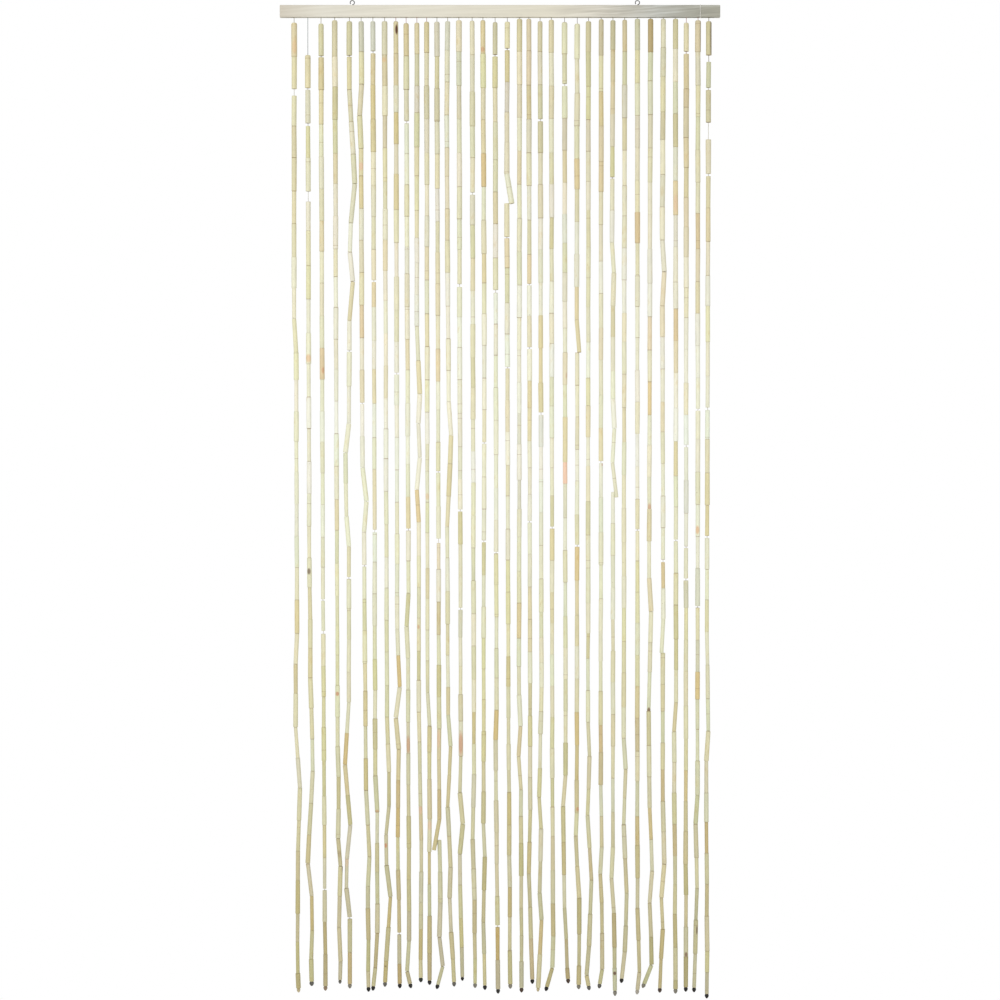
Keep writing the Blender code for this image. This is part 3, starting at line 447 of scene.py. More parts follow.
# Marks on single tubes: the strand, the depth of the mark's middle below the rail in cm, how far
# it lies to the right of the tube's middle, its width and its height in mm, its tone, and how
# strongly it covers the cane. A tube has one mark at most.
MARK_TONES = {
    "burnt": shade(88, 52, 30),
    "knot": shade(120, 84, 54),
    "rusty": shade(190, 116, 76),
    "orange": shade(218, 158, 96),
    "pinkish": shade(222, 178, 152),
    "shadow": shade(132, 118, 92),
}
Mark = namedtuple("Mark", "strand depth right wide high tone cover")
MARKS = [
    Mark(1, 6, 1, 9, 32, "orange", 0.3),
    Mark(2, 69.8, 0, 12, 20, "orange", 0.5),
    Mark(2, 113.2, -1, 8, 16, "burnt", 0.75),
    Mark(2, 192, 4, 4, 16, "knot", 0.5),
    Mark(3, 72.2, 2, 6, 16, "rusty", 0.5),
    Mark(4, 138.2, 0, 8, 10, "rusty", 0.7),
    Mark(4, 171, 0, 10, 20, "knot", 0.3),
    Mark(4, 173.6, 4, 4, 20, "burnt", 0.8),
    Mark(5, 172.2, 0, 12, 30, "pinkish", 0.35),
    Mark(6, 30.6, 0, 12, 22, "pinkish", 0.6),
    Mark(7, 162, 0, 10, 10, "rusty", 0.5),
    Mark(8, 8.6, -1, 9, 12, "orange", 0.3),
    Mark(8, 169.2, -1, 7, 12, "rusty", 0.75),
    Mark(8, 193.4, -1, 5, 6, "burnt", 0.6),
    Mark(9, 2.5, 1.4, 6, 23, "burnt", 1),
    Mark(10, 148.8, 0, 12, 42, "rusty", 0.5),
    Mark(11, 124.6, -1, 6, 10, "rusty", 0.5),
    Mark(11, 162, 0, 12, 22, "pinkish", 0.5),
    Mark(12, 98, 0, 12, 16, "orange", 0.35),
    Mark(12, 165.2, 0, 12, 22, "pinkish", 0.5),
    Mark(13, 147.5, -2, 9, 44, "pinkish", 0.5),
    Mark(15, 148.4, 0, 12, 50, "rusty", 0.6),
    Mark(17, 6.5, -1, 9, 12, "rusty", 0.45),
    Mark(24, 73.2, 3, 5, 14, "rusty", 0.3),
    Mark(25, 161.8, 2, 7, 10, "rusty", 0.6),
    Mark(27, 91.6, 3, 4, 6, "rusty", 0.6),
    Mark(28, 194.8, 0, 8, 12, "burnt", 0.9),
    Mark(31, 100.4, 0, 11, 24, "rusty", 0.55),
    Mark(31, 141, 0, 9, 12, "knot", 0.85),
    Mark(33, 38, 0, 10, 40, "pinkish", 0.4),
    Mark(34, 191.8, 0, 6, 13, "knot", 0.85),
    Mark(35, 4, 4, 5, 90, "shadow", 0.6),
    Mark(35, 104.8, -1, 9, 20, "orange", 0.6),
    Mark(35, 186.6, 2.2, 4, 20, "burnt", 0.85),
    Mark(36, 4, 3.6, 6, 100, "shadow", 0.85),
]

# The seeds at the strands' ends: a tone, and the width and length in mm. Those not named here
# are black and of the common size.
Seed = namedtuple("Seed", "tone wide high")
SEED_TONES = {
    "black": shade(20, 18, 17),
    "green_black": shade(30, 36, 28),
    "charcoal": shade(92, 90, 84),
    "grey": shade(126, 122, 110),
    "pale_grey": shade(168, 162, 150),
    "brown": shade(142, 122, 100),
    "dark_brown": shade(70, 52, 40),
    "straw": shade(190, 176, 138),
}
COMMON_SEED = Seed("black", 8.4, 9.5)
SEEDS = {
    1: Seed("straw", 7.5, 9.0),
    2: Seed("charcoal", 9.6, 9.5),
    3: Seed("brown", 8.4, 9.5),
    4: Seed("charcoal", 6.8, 8.0),
    5: Seed("grey", 8.4, 9.5),
    8: Seed("charcoal", 8.4, 9.5),
    11: Seed("green_black", 8.8, 9.5),
    14: Seed("charcoal", 8.4, 9.5),
    15: Seed("black", 7.0, 8.0),
    16: Seed("grey", 8.2, 9.5),
    19: Seed("grey", 8.4, 9.5),
    20: Seed("dark_brown", 8.4, 9.5),
    22: Seed("straw", 6.8, 8.0),
    24: Seed("dark_brown", 8.4, 9.5),
    25: Seed("grey", 8.4, 9.5),
    26: Seed("charcoal", 8.4, 9.5),
    27: Seed("charcoal", 8.4, 9.5),
    28: Seed("grey", 8.0, 11.0),
    30: Seed("pale_grey", 8.2, 9.5),
    31: Seed("grey", 8.4, 9.5),
    32: Seed("dark_brown", 8.4, 9.5),
    33: Seed("grey", 8.4, 9.5),
}

STRANDS_A_PIECE = 9
SMOOTH_BELOW = math.radians(40)


# The strands' layout


def joint_near(found, depth):
    """The shift and gap of the charted joint within a snap of a depth, or of a new one there."""
    near = min(found, key=lambda known: abs(known - depth), default=math.inf)
    if abs(near - depth) > SNAP:
        near = depth
        found[near] = [None, 0]
    return found[near]


def anchors_of(number):
    """The joints at which a strand is charted."""
    found = {}
    for depth in JOINTS.get(number, ()):
        joint_near(found, depth * CM)
    for depth, gap in GAPS.get(number, ()):
        joint_near(found, depth * CM)[1] = gap * MM
    for depth, shift in BENDS.get(number, ()):
        joint_near(found, depth * CM)[0] = shift * MM
    return [Station(depth, *found[depth]) for depth in sorted(found)]


def stations_of(number, strand):
    """Every joint of a strand, from its first tube's top to its last tube's foot."""
    chance = random.Random(JOINTS_START + number)
    start = strand.lead * MM
    end = strand.drop * CM - SEED_LENGTH
    charted = [Station(start, 0, 0)]
    for joint in anchors_of(number):
        if min(joint.depth - charted[-1].depth, end - joint.depth) > SMALLEST_STEP:
            charted.append(joint)
    charted.append(Station(end, strand.end * MM, 0))
    stations = [charted[0]]
    for above, below in zip(charted, charted[1:]):
        span = below.depth - above.depth
        filled = span - (above.gap + below.gap) / 2
        count = max(1, math.floor(filled / TUBE_LENGTH + 1 - SPARE_SHARE))
        shares = [1 + chance.uniform(-1, 1) * TUBE_LENGTH_SPREAD for _ in range(count)]
        depth = above.depth
        for share in shares[:-1]:
            depth += span * share / sum(shares)
            stations.append(Station(depth, None, 0))
        stations.append(below)
    return stations


def shift_at(depth, stations):
    """How far right of its root the strand lies at a depth: straight between charted depths."""
    charted = [(at, shift) for at, shift, _ in stations if shift is not None]
    for (above, first), (below, second) in zip(charted, charted[1:]):
        if depth <= below:
            return first + (second - first) * (depth - above) / (below - above)
    return charted[-1][1]


def joints_of(number, strand):
    """The middle of every joint of a strand, and the open gap there."""
    chance = random.Random(PLACES_START + number)
    stations = stations_of(number, strand)
    drop = strand.drop * CM
    lean = chance.uniform(0, math.tau)
    joints = []
    for depth, shift, gap in stations:
        low = depth / drop
        tremble = 0
        if shift is None:
            tremble = SIDE_TREMBLE + LOWER_TREMBLE * max(0, low - TREMBLE_FROM)
        across = shift_at(depth, stations) + chance.uniform(-1, 1) * tremble
        waver = chance.uniform(-SWAY_CHANCE, SWAY_CHANCE)
        behind = DEPTH_SWAY * low * (math.sin(lean + SWAY_TURN * low) + waver)
        place = Vector((strand.across * MM + across, MIDDLE_Y + behind, RAIL_UNDERSIDE - depth))
        joints.append((place, gap))
    return joints


def widths_of(number, strand, joints):
    """The width of each tube of a strand, and how much it narrows from its top to its foot."""
    chance = random.Random(WIDTHS_START + number)
    widths = []
    for (place, _), (below, _) in zip(joints, joints[1:]):
        depth, foot = RAIL_UNDERSIDE - place.z, RAIL_UNDERSIDE - below.z
        width = TUBE_WIDTH + chance.uniform(-1, 1) * TUBE_WIDTH_SPREAD
        width += TOP_TUBE_EXTRA * (1 - depth / (strand.drop * CM)) ** EXTRA_FADE
        width += sum(more * MM for at, more in BROADER.get(number, ()) if depth < at * CM < foot)
        widths.append((width, chance.uniform(-1, 1) * TUBE_TAPER))
    return widths


def tubes_of(number, strand):
    """The tubes of a strand. Each is shortened at its ends by the open gap, and at a bend by
    as much as keeps two stiff tubes from running into each other."""
    joints = joints_of(number, strand)
    slip = ASKEW.get(number)
    slipped = None
    if slip:
        level = RAIL_UNDERSIDE - slip.depth * CM
        slipped = min(range(len(joints) - 1), key=lambda index: abs(joints[index][0].z - level))
    tubes = []
    for index, (width, taper) in enumerate(widths_of(number, strand, joints)):
        (start, gap_above), (end, gap_below) = joints[index], joints[index + 1]
        along = (end - start).normalized()
        before = (start - joints[index - 1][0]).normalized() if index else along
        after = along
        if index + 2 < len(joints):
            after = (joints[index + 2][0] - end).normalized()
        above = HAIR_GAP / 2 + gap_above / 2 + width / 4 * before.angle(along)
        below = HAIR_GAP / 2 + gap_below / 2 + width / 4 * along.angle(after)
        top, foot = start + along * above, end - along * below
        if index == slipped:
            foot = end + Vector((slip.right * MM, -ASKEW_FORWARD, -slip.below * MM))
        radii = (width + taper) / 2, (width - taper) / 2
        tubes.append(Tube(top, foot, *radii, index == slipped))
    return tubes


# The settings that a user would change


class TubeSettings(bpy.types.PropertyGroup):
    """Sizes and colours of the bamboo tubes."""

    radius: bpy.props.FloatProperty(
        name="Radius", description="Half the thickness of a common tube",
        default=4.4 * MM, unit="LENGTH")
    wall: bpy.props.FloatProperty(
        name="Wall", description="Thickness of the cane's wall", default=2.5 * MM, unit="LENGTH")
    eased: bpy.props.FloatProperty(
        name="Eased rim", description="Width of the worn edge round a cut end",
        default=0.3 * MM, unit="LENGTH")
    sides: bpy.props.IntProperty(
        name="Sides", description="Faces round a tube", default=12, min=6)
    neck: bpy.props.FloatProperty(
        name="Neck", description="Height of the tapered top of each first tube",
        default=2.4 * MM, unit="LENGTH")
    # The tones down the strands are painted light and shade: the palest, above the middle, is
    # painted light, and the darker ones at the head, under the rail, and at the foot are painted
    # shade.
    head: bpy.props.FloatVectorProperty(
        name="Head tone", description="Colour of the tubes just below the rail",
        default=shade(211, 206, 173), subtype="COLOR")
    upper: bpy.props.FloatVectorProperty(
        name="Upper tone", description="Colour of the tubes a quarter of the way down",
        default=shade(223, 219, 192), subtype="COLOR")
    middle: bpy.props.FloatVectorProperty(
        name="Middle tone", description="Colour of the palest tubes, above the middle",
        default=shade(229, 228, 204), subtype="COLOR")
    lower: bpy.props.FloatVectorProperty(
        name="Lower tone", description="Colour of the tubes two thirds of the way down",
        default=shade(217, 214, 179), subtype="COLOR")
    foot: bpy.props.FloatVectorProperty(
        name="Foot tone", description="Colour of the tubes at the strands' ends",
        default=shade(191, 184, 143), subtype="COLOR")
    cut: bpy.props.FloatVectorProperty(
        name="Cut ends", description="Colour of the sawn rims",
        default=shade(164, 142, 102), subtype="COLOR")


class CordSettings(bpy.types.PropertyGroup):
    """Sizes and colours of the cords that carry the tubes, and of the tie."""

    thick: bpy.props.FloatProperty(
        name="Thickness", description="Thickness of a strand's cord",
        default=1.3 * MM, unit="LENGTH")
    ply: bpy.props.FloatProperty(
        name="Tie's ply", description="Thickness of each of the tie's two plies",
        default=0.72 * MM, unit="LENGTH")
    pitch: bpy.props.FloatProperty(
        name="Twist", description="Length of one turn of the twist",
        default=3.2 * MM, unit="LENGTH")
    clean: bpy.props.FloatVectorProperty(
        name="Clean cord", description="Colour of the cords between the tubes",
        default=shade(232, 229, 216), subtype="COLOR")
    colour: bpy.props.FloatVectorProperty(
        name="Cord colour", description="Colour of the cords just below the rail",
        default=shade(167, 159, 134), subtype="COLOR")
    tie: bpy.props.FloatVectorProperty(
        name="Tie colour", description="Colour of the tie", default=shade(244, 242, 236),
        subtype="COLOR")


class SeedSettings(bpy.types.PropertyGroup):
    """Sizes of the end seeds."""

    sides: bpy.props.IntProperty(
        name="Sides", description="Faces round a seed", default=14, min=6)
    gloss: bpy.props.FloatProperty(
        name="Gloss", description="Strength of the polish", default=0.1, min=0, max=1,
        subtype="FACTOR")


class RailSettings(bpy.types.PropertyGroup):
    """Colours of the wooden rail."""

    left: bpy.props.FloatVectorProperty(
        name="Left end", description="Colour of the left end", default=shade(194, 187, 172),
        subtype="COLOR")
    clean: bpy.props.FloatVectorProperty(
        name="Clean wood", description="Colour of the left half", default=shade(209, 205, 192),
        subtype="COLOR")
    middle: bpy.props.FloatVectorProperty(
        name="Middle", description="Colour from the middle to the right",
        default=shade(216, 211, 194), subtype="COLOR")
    # Towards the right end the wood is greyer in its own tone, and darker as painted shade.
    turning: bpy.props.FloatVectorProperty(
        name="Turning grey", description="Colour where the weathered part starts",
        default=shade(206, 202, 190), subtype="COLOR")
    weathered: bpy.props.FloatVectorProperty(
        name="Weathered", description="Colour of the weathered part",
        default=shade(183, 184, 177), subtype="COLOR")
    right: bpy.props.FloatVectorProperty(
        name="Right end", description="Colour of the right end", default=shade(174, 174, 162),
        subtype="COLOR")


class EyeSettings(bpy.types.PropertyGroup):
    """Sizes of the screw eyes."""

    wire: bpy.props.FloatProperty(
        name="Wire", description="Thickness of the wire", default=1.9 * MM, unit="LENGTH")
    ring: bpy.props.FloatProperty(
        name="Ring", description="Radius of the ring at the middle of its wire",
        default=4.3 * MM, unit="LENGTH")
    gap: bpy.props.FloatProperty(
        name="Opening", description="Turn between the ring's free end and the shank",
        default=math.radians(50), subtype="ANGLE")
    shank: bpy.props.FloatProperty(
        name="Shank", description="Depth of the shank in the rail", default=14 * MM,
        unit="LENGTH")


class StageSettings(bpy.types.PropertyGroup):
    """The floor, the lights and the camera."""

    floor_drop: bpy.props.FloatProperty(
        name="Floor", description="Height of the lowest seed over the floor",
        default=80 * MM, unit="LENGTH")
    ambient: bpy.props.FloatProperty(
        name="Ambient", description="Strength of the light from all sides", default=0.7)
    key: bpy.props.FloatProperty(
        name="Key light", description="Power of the light at the upper left", default=32,
        unit="POWER")
    fill: bpy.props.FloatProperty(
        name="Fill light", description="Power of the low light in front", default=46,
        unit="POWER")
    back: bpy.props.FloatProperty(
        name="Back light", description="Power of the light behind", default=10, unit="POWER")
    lens: bpy.props.FloatProperty(
        name="Lens", description="Focal length of the camera, mm", default=90)
    framed: bpy.props.FloatProperty(
        name="Framed width", description="Width that the camera sees at the curtain",
        default=2.045, unit="LENGTH")


SETTINGS = {
    "curtain_tubes": TubeSettings,
    "curtain_cords": CordSettings,
    "curtain_seeds": SeedSettings,
    "curtain_rail": RailSettings,
    "curtain_eyes": EyeSettings,
    "curtain_stage": StageSettings,
}


# Node trees

GEOMETRY = "NodeSocketGeometry"
FLOAT = "NodeSocketFloat"
INTEGER = "NodeSocketInt"
VECTOR = "NodeSocketVector"
OBJECT = "NodeSocketObject"
MATERIAL = "NodeSocketMaterial"

# Points closer than this are merged
WELD = 0.01 * MM


def node_group(name, kind, inputs, outputs):
    """A node tree with named sockets, and the sockets of its input and its output node."""
    tree = bpy.data.node_groups.new(name, kind)
    for label, socket in inputs.items():
        tree.interface.new_socket(label, in_out="INPUT", socket_type=socket)
    for label, socket in outputs.items():
        tree.interface.new_socket(label, in_out="OUTPUT", socket_type=socket)
    given = tree.nodes.new("NodeGroupInput")
    made = tree.nodes.new("NodeGroupOutput")
    return tree, given.outputs, made.inputs


def shared_tree(build):
    """The tree that a function builds under its own name, built once and then used again."""
    return bpy.data.node_groups.get(build.__name__) or build()


def feed(tree, socket, value):
    """Gives an input its value, or links it to the socket that feeds it."""
    if isinstance(value, bpy.types.NodeSocket):
        tree.links.new(value, socket)
    else:
        socket.default_value = value


def add(tree, kind, inputs=(), **settings):
    """Adds a node with its settings. Each input is a value, or the socket that feeds it."""
    node = tree.nodes.new(kind)
    for name, value in settings.items():
        setattr(node, name, value)
    for key, value in dict(inputs).items():
        feed(tree, node.inputs[key], value)
    return node


def number(tree, operation, *values):
    """A sum, product or the like of numbers."""
    return add(tree, "ShaderNodeMath", enumerate(values), operation=operation).outputs[0]


def vector(tree, operation, *values):
    """A vector sum, product or the like. A length or a dot product comes out as a number."""
    node = add(tree, "ShaderNodeVectorMath", enumerate(values), operation=operation)
    return node.outputs["Value" if operation in ("LENGTH", "DOT_PRODUCT") else "Vector"]


def scaled(tree, arrow, factor):
    """A vector times a number."""
    inputs = {0: arrow, "Scale": factor}
    return add(tree, "ShaderNodeVectorMath", inputs, operation="SCALE").outputs["Vector"]


def parts_of(tree, arrow):
    """The X, Y and Z of a vector, as sockets."""
    return add(tree, "ShaderNodeSeparateXYZ", {0: arrow}).outputs


def named(tree, name, kind="FLOAT"):
    """A point's own attribute, in a geometry tree."""
    return add(tree, "GeometryNodeInputNamedAttribute", {"Name": name}, data_type=kind).outputs[0]


def stored(tree, geometry, name, value, kind="FLOAT"):
    """The geometry, with a value kept on each of its points."""
    inputs = {"Geometry": geometry, "Name": name, "Value": value}
    node = add(tree, "GeometryNodeStoreNamedAttribute", inputs, data_type=kind, domain="POINT")
    return node.outputs[0]


def end_tree(tree, geometry, finish, result):
    """The tree's last steps: real geometry from the instances, its material, and its output."""
    real = add(tree, "GeometryNodeRealizeInstances", {"Geometry": geometry}).outputs[0]
    last = add(tree, "GeometryNodeSetMaterial", {"Geometry": real, "Material": finish})
    tree.links.new(last.outputs[0], result)


def placed_on(tree, points, shape):
    """Instances of a shape on the points, each turned and scaled by its point's attributes."""
    axis = named(tree, "axis", "FLOAT_VECTOR")
    upright = add(tree, "FunctionNodeAlignRotationToVector", {"Vector": axis}, axis="Z")
    spin = add(
        tree, "FunctionNodeAxisAngleToRotation",
        {"Axis": (0, 0, 1), "Angle": named(tree, "spin")},
    )
    both = add(
        tree, "FunctionNodeRotateRotation",
        {"Rotation": upright.outputs[0], "Rotate By": spin.outputs[0]}, rotation_space="LOCAL",
    )
    instances = add(
        tree, "GeometryNodeInstanceOnPoints",
        {
            "Points": points, "Instance": shape, "Rotation": both.outputs[0],
            "Scale": named(tree, "size", "FLOAT_VECTOR"),
        },
    )
    return instances.outputs[0]


def swept_tube(tree, given, place):
    """A tube along Z: the wall's section, with its outer corners eased, swept round a ring."""
    half_wall = number(tree, "DIVIDE", given["Wall"], 2)
    ring = add(
        tree, "GeometryNodeCurvePrimitiveCircle",
        {
            "Resolution": given["Sides"],
            "Radius": number(tree, "SUBTRACT", given["Radius"], half_wall),
        },
    )
    wall = add(
        tree, "GeometryNodeCurvePrimitiveQuadrilateral",
        {"Width": given["Wall"], "Height": given["Length"]},
    )
    outer = number(tree, "GREATER_THAN", parts_of(tree, place)["X"], 0)
    eased = add(
        tree, "GeometryNodeFilletCurve",
        {
            "Curve": wall.outputs[0], "Count": 1,
            "Radius": number(tree, "MULTIPLY", outer, given["Eased rim"]),
        },
        mode="POLY",
    )
    sweep = add(
        tree, "GeometryNodeCurveToMesh",
        {"Curve": ring.outputs[0], "Profile Curve": eased.outputs[0]},
    )
    inputs = {"Geometry": sweep.outputs[0], "Distance": WELD}
    return add(tree, "GeometryNodeMergeByDistance", inputs).outputs[0]


def cane_tubes():
    """Sets a copy of one hollow tube on each point, and narrows it from its top to its foot."""
    tree, given, made = node_group(
        "cane_tubes", "GeometryNodeTree",
        {
            "Points": GEOMETRY, "Radius": FLOAT, "Length": FLOAT, "Wall": FLOAT,
            "Eased rim": FLOAT, "Sides": INTEGER, "Finish": MATERIAL,
        },
        {"Tubes": GEOMETRY},
    )
    place = add(tree, "GeometryNodeInputPosition").outputs[0]
    tube = stored(tree, swept_tube(tree, given, place), "own_place", place, "FLOAT_VECTOR")
    points = stored(tree, given["Points"], "centre", place, "FLOAT_VECTOR")
    real = add(tree, "GeometryNodeRealizeInstances", {"Geometry": placed_on(tree, points, tube)})
    axis = named(tree, "axis", "FLOAT_VECTOR")
    arm = vector(tree, "SUBTRACT", place, named(tree, "centre", "FLOAT_VECTOR"))
    along = scaled(tree, axis, vector(tree, "DOT_PRODUCT", arm, axis))
    outward = vector(tree, "SUBTRACT", arm, along)
    height = parts_of(tree, named(tree, "own_place", "FLOAT_VECTOR"))["Z"]
    wider = number(tree, "MULTIPLY", height, named(tree, "taper"))
    narrowed = add(
        tree, "GeometryNodeSetPosition",
        {"Geometry": real.outputs[0], "Offset": scaled(tree, outward, wider)},
    )
    end_tree(tree, narrowed.outputs[0], given["Finish"], made["Tubes"])
    return tree


def shape_on_points():
    """Sets a copy of a modelled shape on each point."""
    tree, given, made = node_group(
        "shape_on_points", "GeometryNodeTree",
        {"Points": GEOMETRY, "Shape": OBJECT, "Finish": MATERIAL}, {"Shapes": GEOMETRY},
    )
    model = add(tree, "GeometryNodeObjectInfo", {"Object": given["Shape"]})
    place = add(tree, "GeometryNodeInputPosition").outputs[0]
    shape = stored(tree, model.outputs["Geometry"], "own_place", place, "FLOAT_VECTOR")
    end_tree(tree, placed_on(tree, given["Points"], shape), given["Finish"], made["Shapes"])
    return tree


def wire_on_edges():
    """Runs a round wire or cord along each chain of edges."""
    tree, given, made = node_group(
        "wire_on_edges", "GeometryNodeTree",
        {"Chains": GEOMETRY, "Thickness": FLOAT, "Sides": INTEGER, "Finish": MATERIAL},
        {"Wires": GEOMETRY},
    )
    chains = add(tree, "GeometryNodeMeshToCurve", {"Mesh": given["Chains"]})
    length = add(tree, "GeometryNodeSplineParameter").outputs["Length"]
    ring = add(
        tree, "GeometryNodeCurvePrimitiveCircle",
        {"Resolution": given["Sides"], "Radius": number(tree, "DIVIDE", given["Thickness"], 2)},
    )
    place = add(tree, "GeometryNodeInputPosition").outputs[0]
    sweep = add(
        tree, "GeometryNodeCurveToMesh",
        {
            "Curve": stored(tree, chains.outputs[0], "along", length),
            "Profile Curve": stored(tree, ring.outputs[0], "round", place, "FLOAT_VECTOR"),
            "Fill Caps": True,
        },
    )
    end_tree(tree, sweep.outputs[0], given["Finish"], made["Wires"])
    return tree


# Guide meshes, and what is made from them

# The attributes that only guide the shapes, and are dropped from the finished meshes
GUIDE_ONLY = ("axis", "spin", "size", "taper", "centre")

# What an attribute of each kind calls its value
KINDS = {"FLOAT": "value", "FLOAT_VECTOR": "vector", "FLOAT_COLOR": "color"}


def attach(mesh, label, kind, values):
    """Gives each point of a mesh its value of a new attribute."""
    layer = mesh.attributes.new(label, kind, "POINT")
    for item, value in zip(layer.data, values):
        setattr(item, KINDS[kind], value)


def cloud(name, points, attributes):
    """A mesh of loose points. Attributes are {(name, kind): [a value for each point]}."""
    mesh = bpy.data.meshes.new(name)
    mesh.from_pydata(points, [], [])
    for (label, kind), values in attributes.items():
        attach(mesh, label, kind, values)
    return mesh


def chained(name, chains, tones=()):
    """A mesh of edges that join the points of each chain in turn, with a tone for each chain."""
    points, edges = [], []
    for chain in chains:
        first = len(points)
        edges += [(first + step, first + step + 1) for step in range(len(chain) - 1)]
        points += chain
    mesh = bpy.data.meshes.new(name)
    mesh.from_pydata(points, edges, [])
    if tones:
        colours = [(*tone, 1) for chain, tone in zip(chains, tones) for _ in chain]
        attach(mesh, "tone", "FLOAT_COLOR", colours)
    return mesh


def placed(name, data):
    """A new object at the scene's origin."""
    obj = bpy.data.objects.new(name, data)
    bpy.context.scene.collection.objects.link(obj)
    return obj


def mesh_of(name, cells):
    """A mesh from an edit mesh, which is freed."""
    mesh = bpy.data.meshes.new(name)
    cells.to_mesh(mesh)
    cells.free()
    return mesh


def smoothed(mesh):
    """A mesh shaded smooth, but for its sharp edges."""
    mesh.shade_smooth()
    mesh.set_sharp_from_angle(angle=SMOOTH_BELOW)
    return mesh


def grown(name, guide, build, **inputs):
    """The plain mesh object that a geometry tree makes from a guide mesh."""
    tree = shared_tree(build)
    obj = placed(name, guide)
    modifier = obj.modifiers.new(tree.name, "NODES")
    modifier.node_group = tree
    for item in tree.interface.items_tree:
        label = item.name.replace(" ", "_").lower()
        if item.in_out == "INPUT" and label in inputs:
            modifier[item.identifier] = inputs[label]
    graph = bpy.context.evaluated_depsgraph_get()
    mesh = bpy.data.meshes.new_from_object(obj.evaluated_get(graph), depsgraph=graph)
    obj.modifiers.remove(modifier)
    for label in GUIDE_ONLY:
        if label in mesh.attributes:
            mesh.attributes.remove(mesh.attributes[label])
    obj.data = smoothed(mesh)
    return obj


def turned(name, profile, sides):
    """A shape turned about Z from (radius, height) points, to be copied onto a guide's points."""
    cells = bmesh.new()
    line = [cells.verts.new((radius, 0, height)) for radius, height in profile]
    edges = [cells.edges.new(pair) for pair in zip(line, line[1:])]
    bmesh.ops.spin(
        cells, geom=line + edges, cent=(0, 0, 0), axis=(0, 0, 1), angle=math.tau, steps=sides,
        use_merge=True,
    )
    bmesh.ops.remove_doubles(cells, verts=cells.verts, dist=WELD)
    bmesh.ops.recalc_face_normals(cells, faces=cells.faces)
    return bpy.data.objects.new(name, smoothed(mesh_of(name, cells)))


def fitted(piece, slot, *nodes):
    """Sets a piece on the part's body and hides the nodes that it stands for; the slot is not
    used.
    """
    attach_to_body(piece, BODY)
    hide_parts(*nodes)


def round_path(corners, reach, steps):
    """A line through the corners, each rounded off over a reach to both sides."""
    path = [corners[0]]
    for before, corner, after in zip(corners, corners[1:], corners[2:]):
        back, on = before - corner, after - corner
        start = corner + back.normalized() * min(reach, back.length / 2)
        end = corner + on.normalized() * min(reach, on.length / 2)
        path += bend(start, corner, end, [step / steps for step in range(steps + 1)])
    return path + [corners[-1]]


def bend(start, corner, end, shares):
    """Points at some shares of a smooth bend from the start to the end, drawn to the corner."""
    return [start.lerp(corner, share).lerp(corner.lerp(end, share), share) for share in shares]


# Shader groups and materials


def fibre_streaks():
    """Streaks that run along Z: a value round 0.5 that varies across and slowly along."""
    tree, given, made = node_group(
        "fibre_streaks", "ShaderNodeTree",
        {"Place": VECTOR, "Shift": FLOAT, "Fineness": FLOAT, "Stretch": FLOAT}, {"Streak": FLOAT},
    )
    across = given["Fineness"]
    along = number(tree, "DIVIDE", across, given["Stretch"])
    scale = add(tree, "ShaderNodeCombineXYZ", {0: across, 1: across, 2: along}).outputs[0]
    drawn = vector(tree, "MULTIPLY", given["Place"], scale)
    noise = add(
        tree, "ShaderNodeTexNoise",
        {
            "Vector": vector(tree, "ADD", drawn, given["Shift"]),
            "Scale": 1.0, "Detail": 3.0, "Roughness": 0.6,
        },
    )
    tree.links.new(noise.outputs["Fac"], made["Streak"])
    return tree


# How steeply a speck's edge turns from clear to full
SPECK_EDGE = 12


def specks():
    """A mask of soft specks, as many as the threshold lets through."""
    tree, given, made = node_group(
        "specks", "ShaderNodeTree",
        {"Place": VECTOR, "Shift": FLOAT, "Fineness": FLOAT, "Threshold": FLOAT}, {"Mask": FLOAT},
    )
    noise = add(
        tree, "ShaderNodeTexNoise",
        {
            "Vector": vector(tree, "ADD", given["Place"], given["Shift"]),
            "Scale": given["Fineness"], "Detail": 1.0, "Roughness": 0.5,
        },
    )
    over = number(tree, "SUBTRACT", noise.outputs["Fac"], given["Threshold"])
    mask = add(tree, "ShaderNodeClamp", {0: number(tree, "MULTIPLY", over, SPECK_EDGE)})
    tree.links.new(mask.outputs[0], made["Mask"])
    return tree


def effect(tree, build, **inputs):
    """Places a shared shader group in a material, and returns its one output."""
    node = tree.nodes.new("ShaderNodeGroup")
    node.node_tree = shared_tree(build)
    for label, value in inputs.items():
        feed(tree, node.inputs[label.capitalize()], value)
    return node.outputs[0]


def spread(tree, value, low, high, to_low, to_high):
    """Maps a stretch of values to another, held at its ends."""
    inputs = {0: value, 1: low, 2: high, 3: to_low, 4: to_high}
    return add(tree, "ShaderNodeMapRange", inputs).outputs[0]


def mixed(tree, share, first, second, blend="MIX"):
    """The second colour over the first by a share. A colour is a socket or three values."""
    node = add(tree, "ShaderNodeMix", {0: share}, data_type="RGBA", blend_type=blend)
    for key, colour in ((6, first), (7, second)):
        plain = not isinstance(colour, bpy.types.NodeSocket)
        feed(tree, node.inputs[key], (*colour, 1) if plain else colour)
    return node.outputs[2]


def brightened(tree, colour, value):
    """The colour with its brightness multiplied."""
    return add(tree, "ShaderNodeHueSaturation", {"Color": colour, "Value": value}).outputs[0]


def new_material(name, roughness, **settings):
    """A material, its node tree and its Principled shader, with the shader's plain settings."""
    made = bpy.data.materials.new(name)
    made.use_nodes = True
    shader = made.node_tree.nodes["Principled BSDF"]
    shader.inputs["Roughness"].default_value = roughness
    for label, value in settings.items():
        socket = label.replace("_", " ").title().replace("Ior", "IOR")
        shader.inputs[socket].default_value = value
    return made, made.node_tree, shader


def bump(tree, shader, height, distance):
    """Raises the surface by a height map, which spans the distance."""
    inputs = {"Height": height, "Distance": distance, "Strength": 1.0}
    node = add(tree, "ShaderNodeBump", inputs)
    tree.links.new(node.outputs[0], shader.inputs["Normal"])


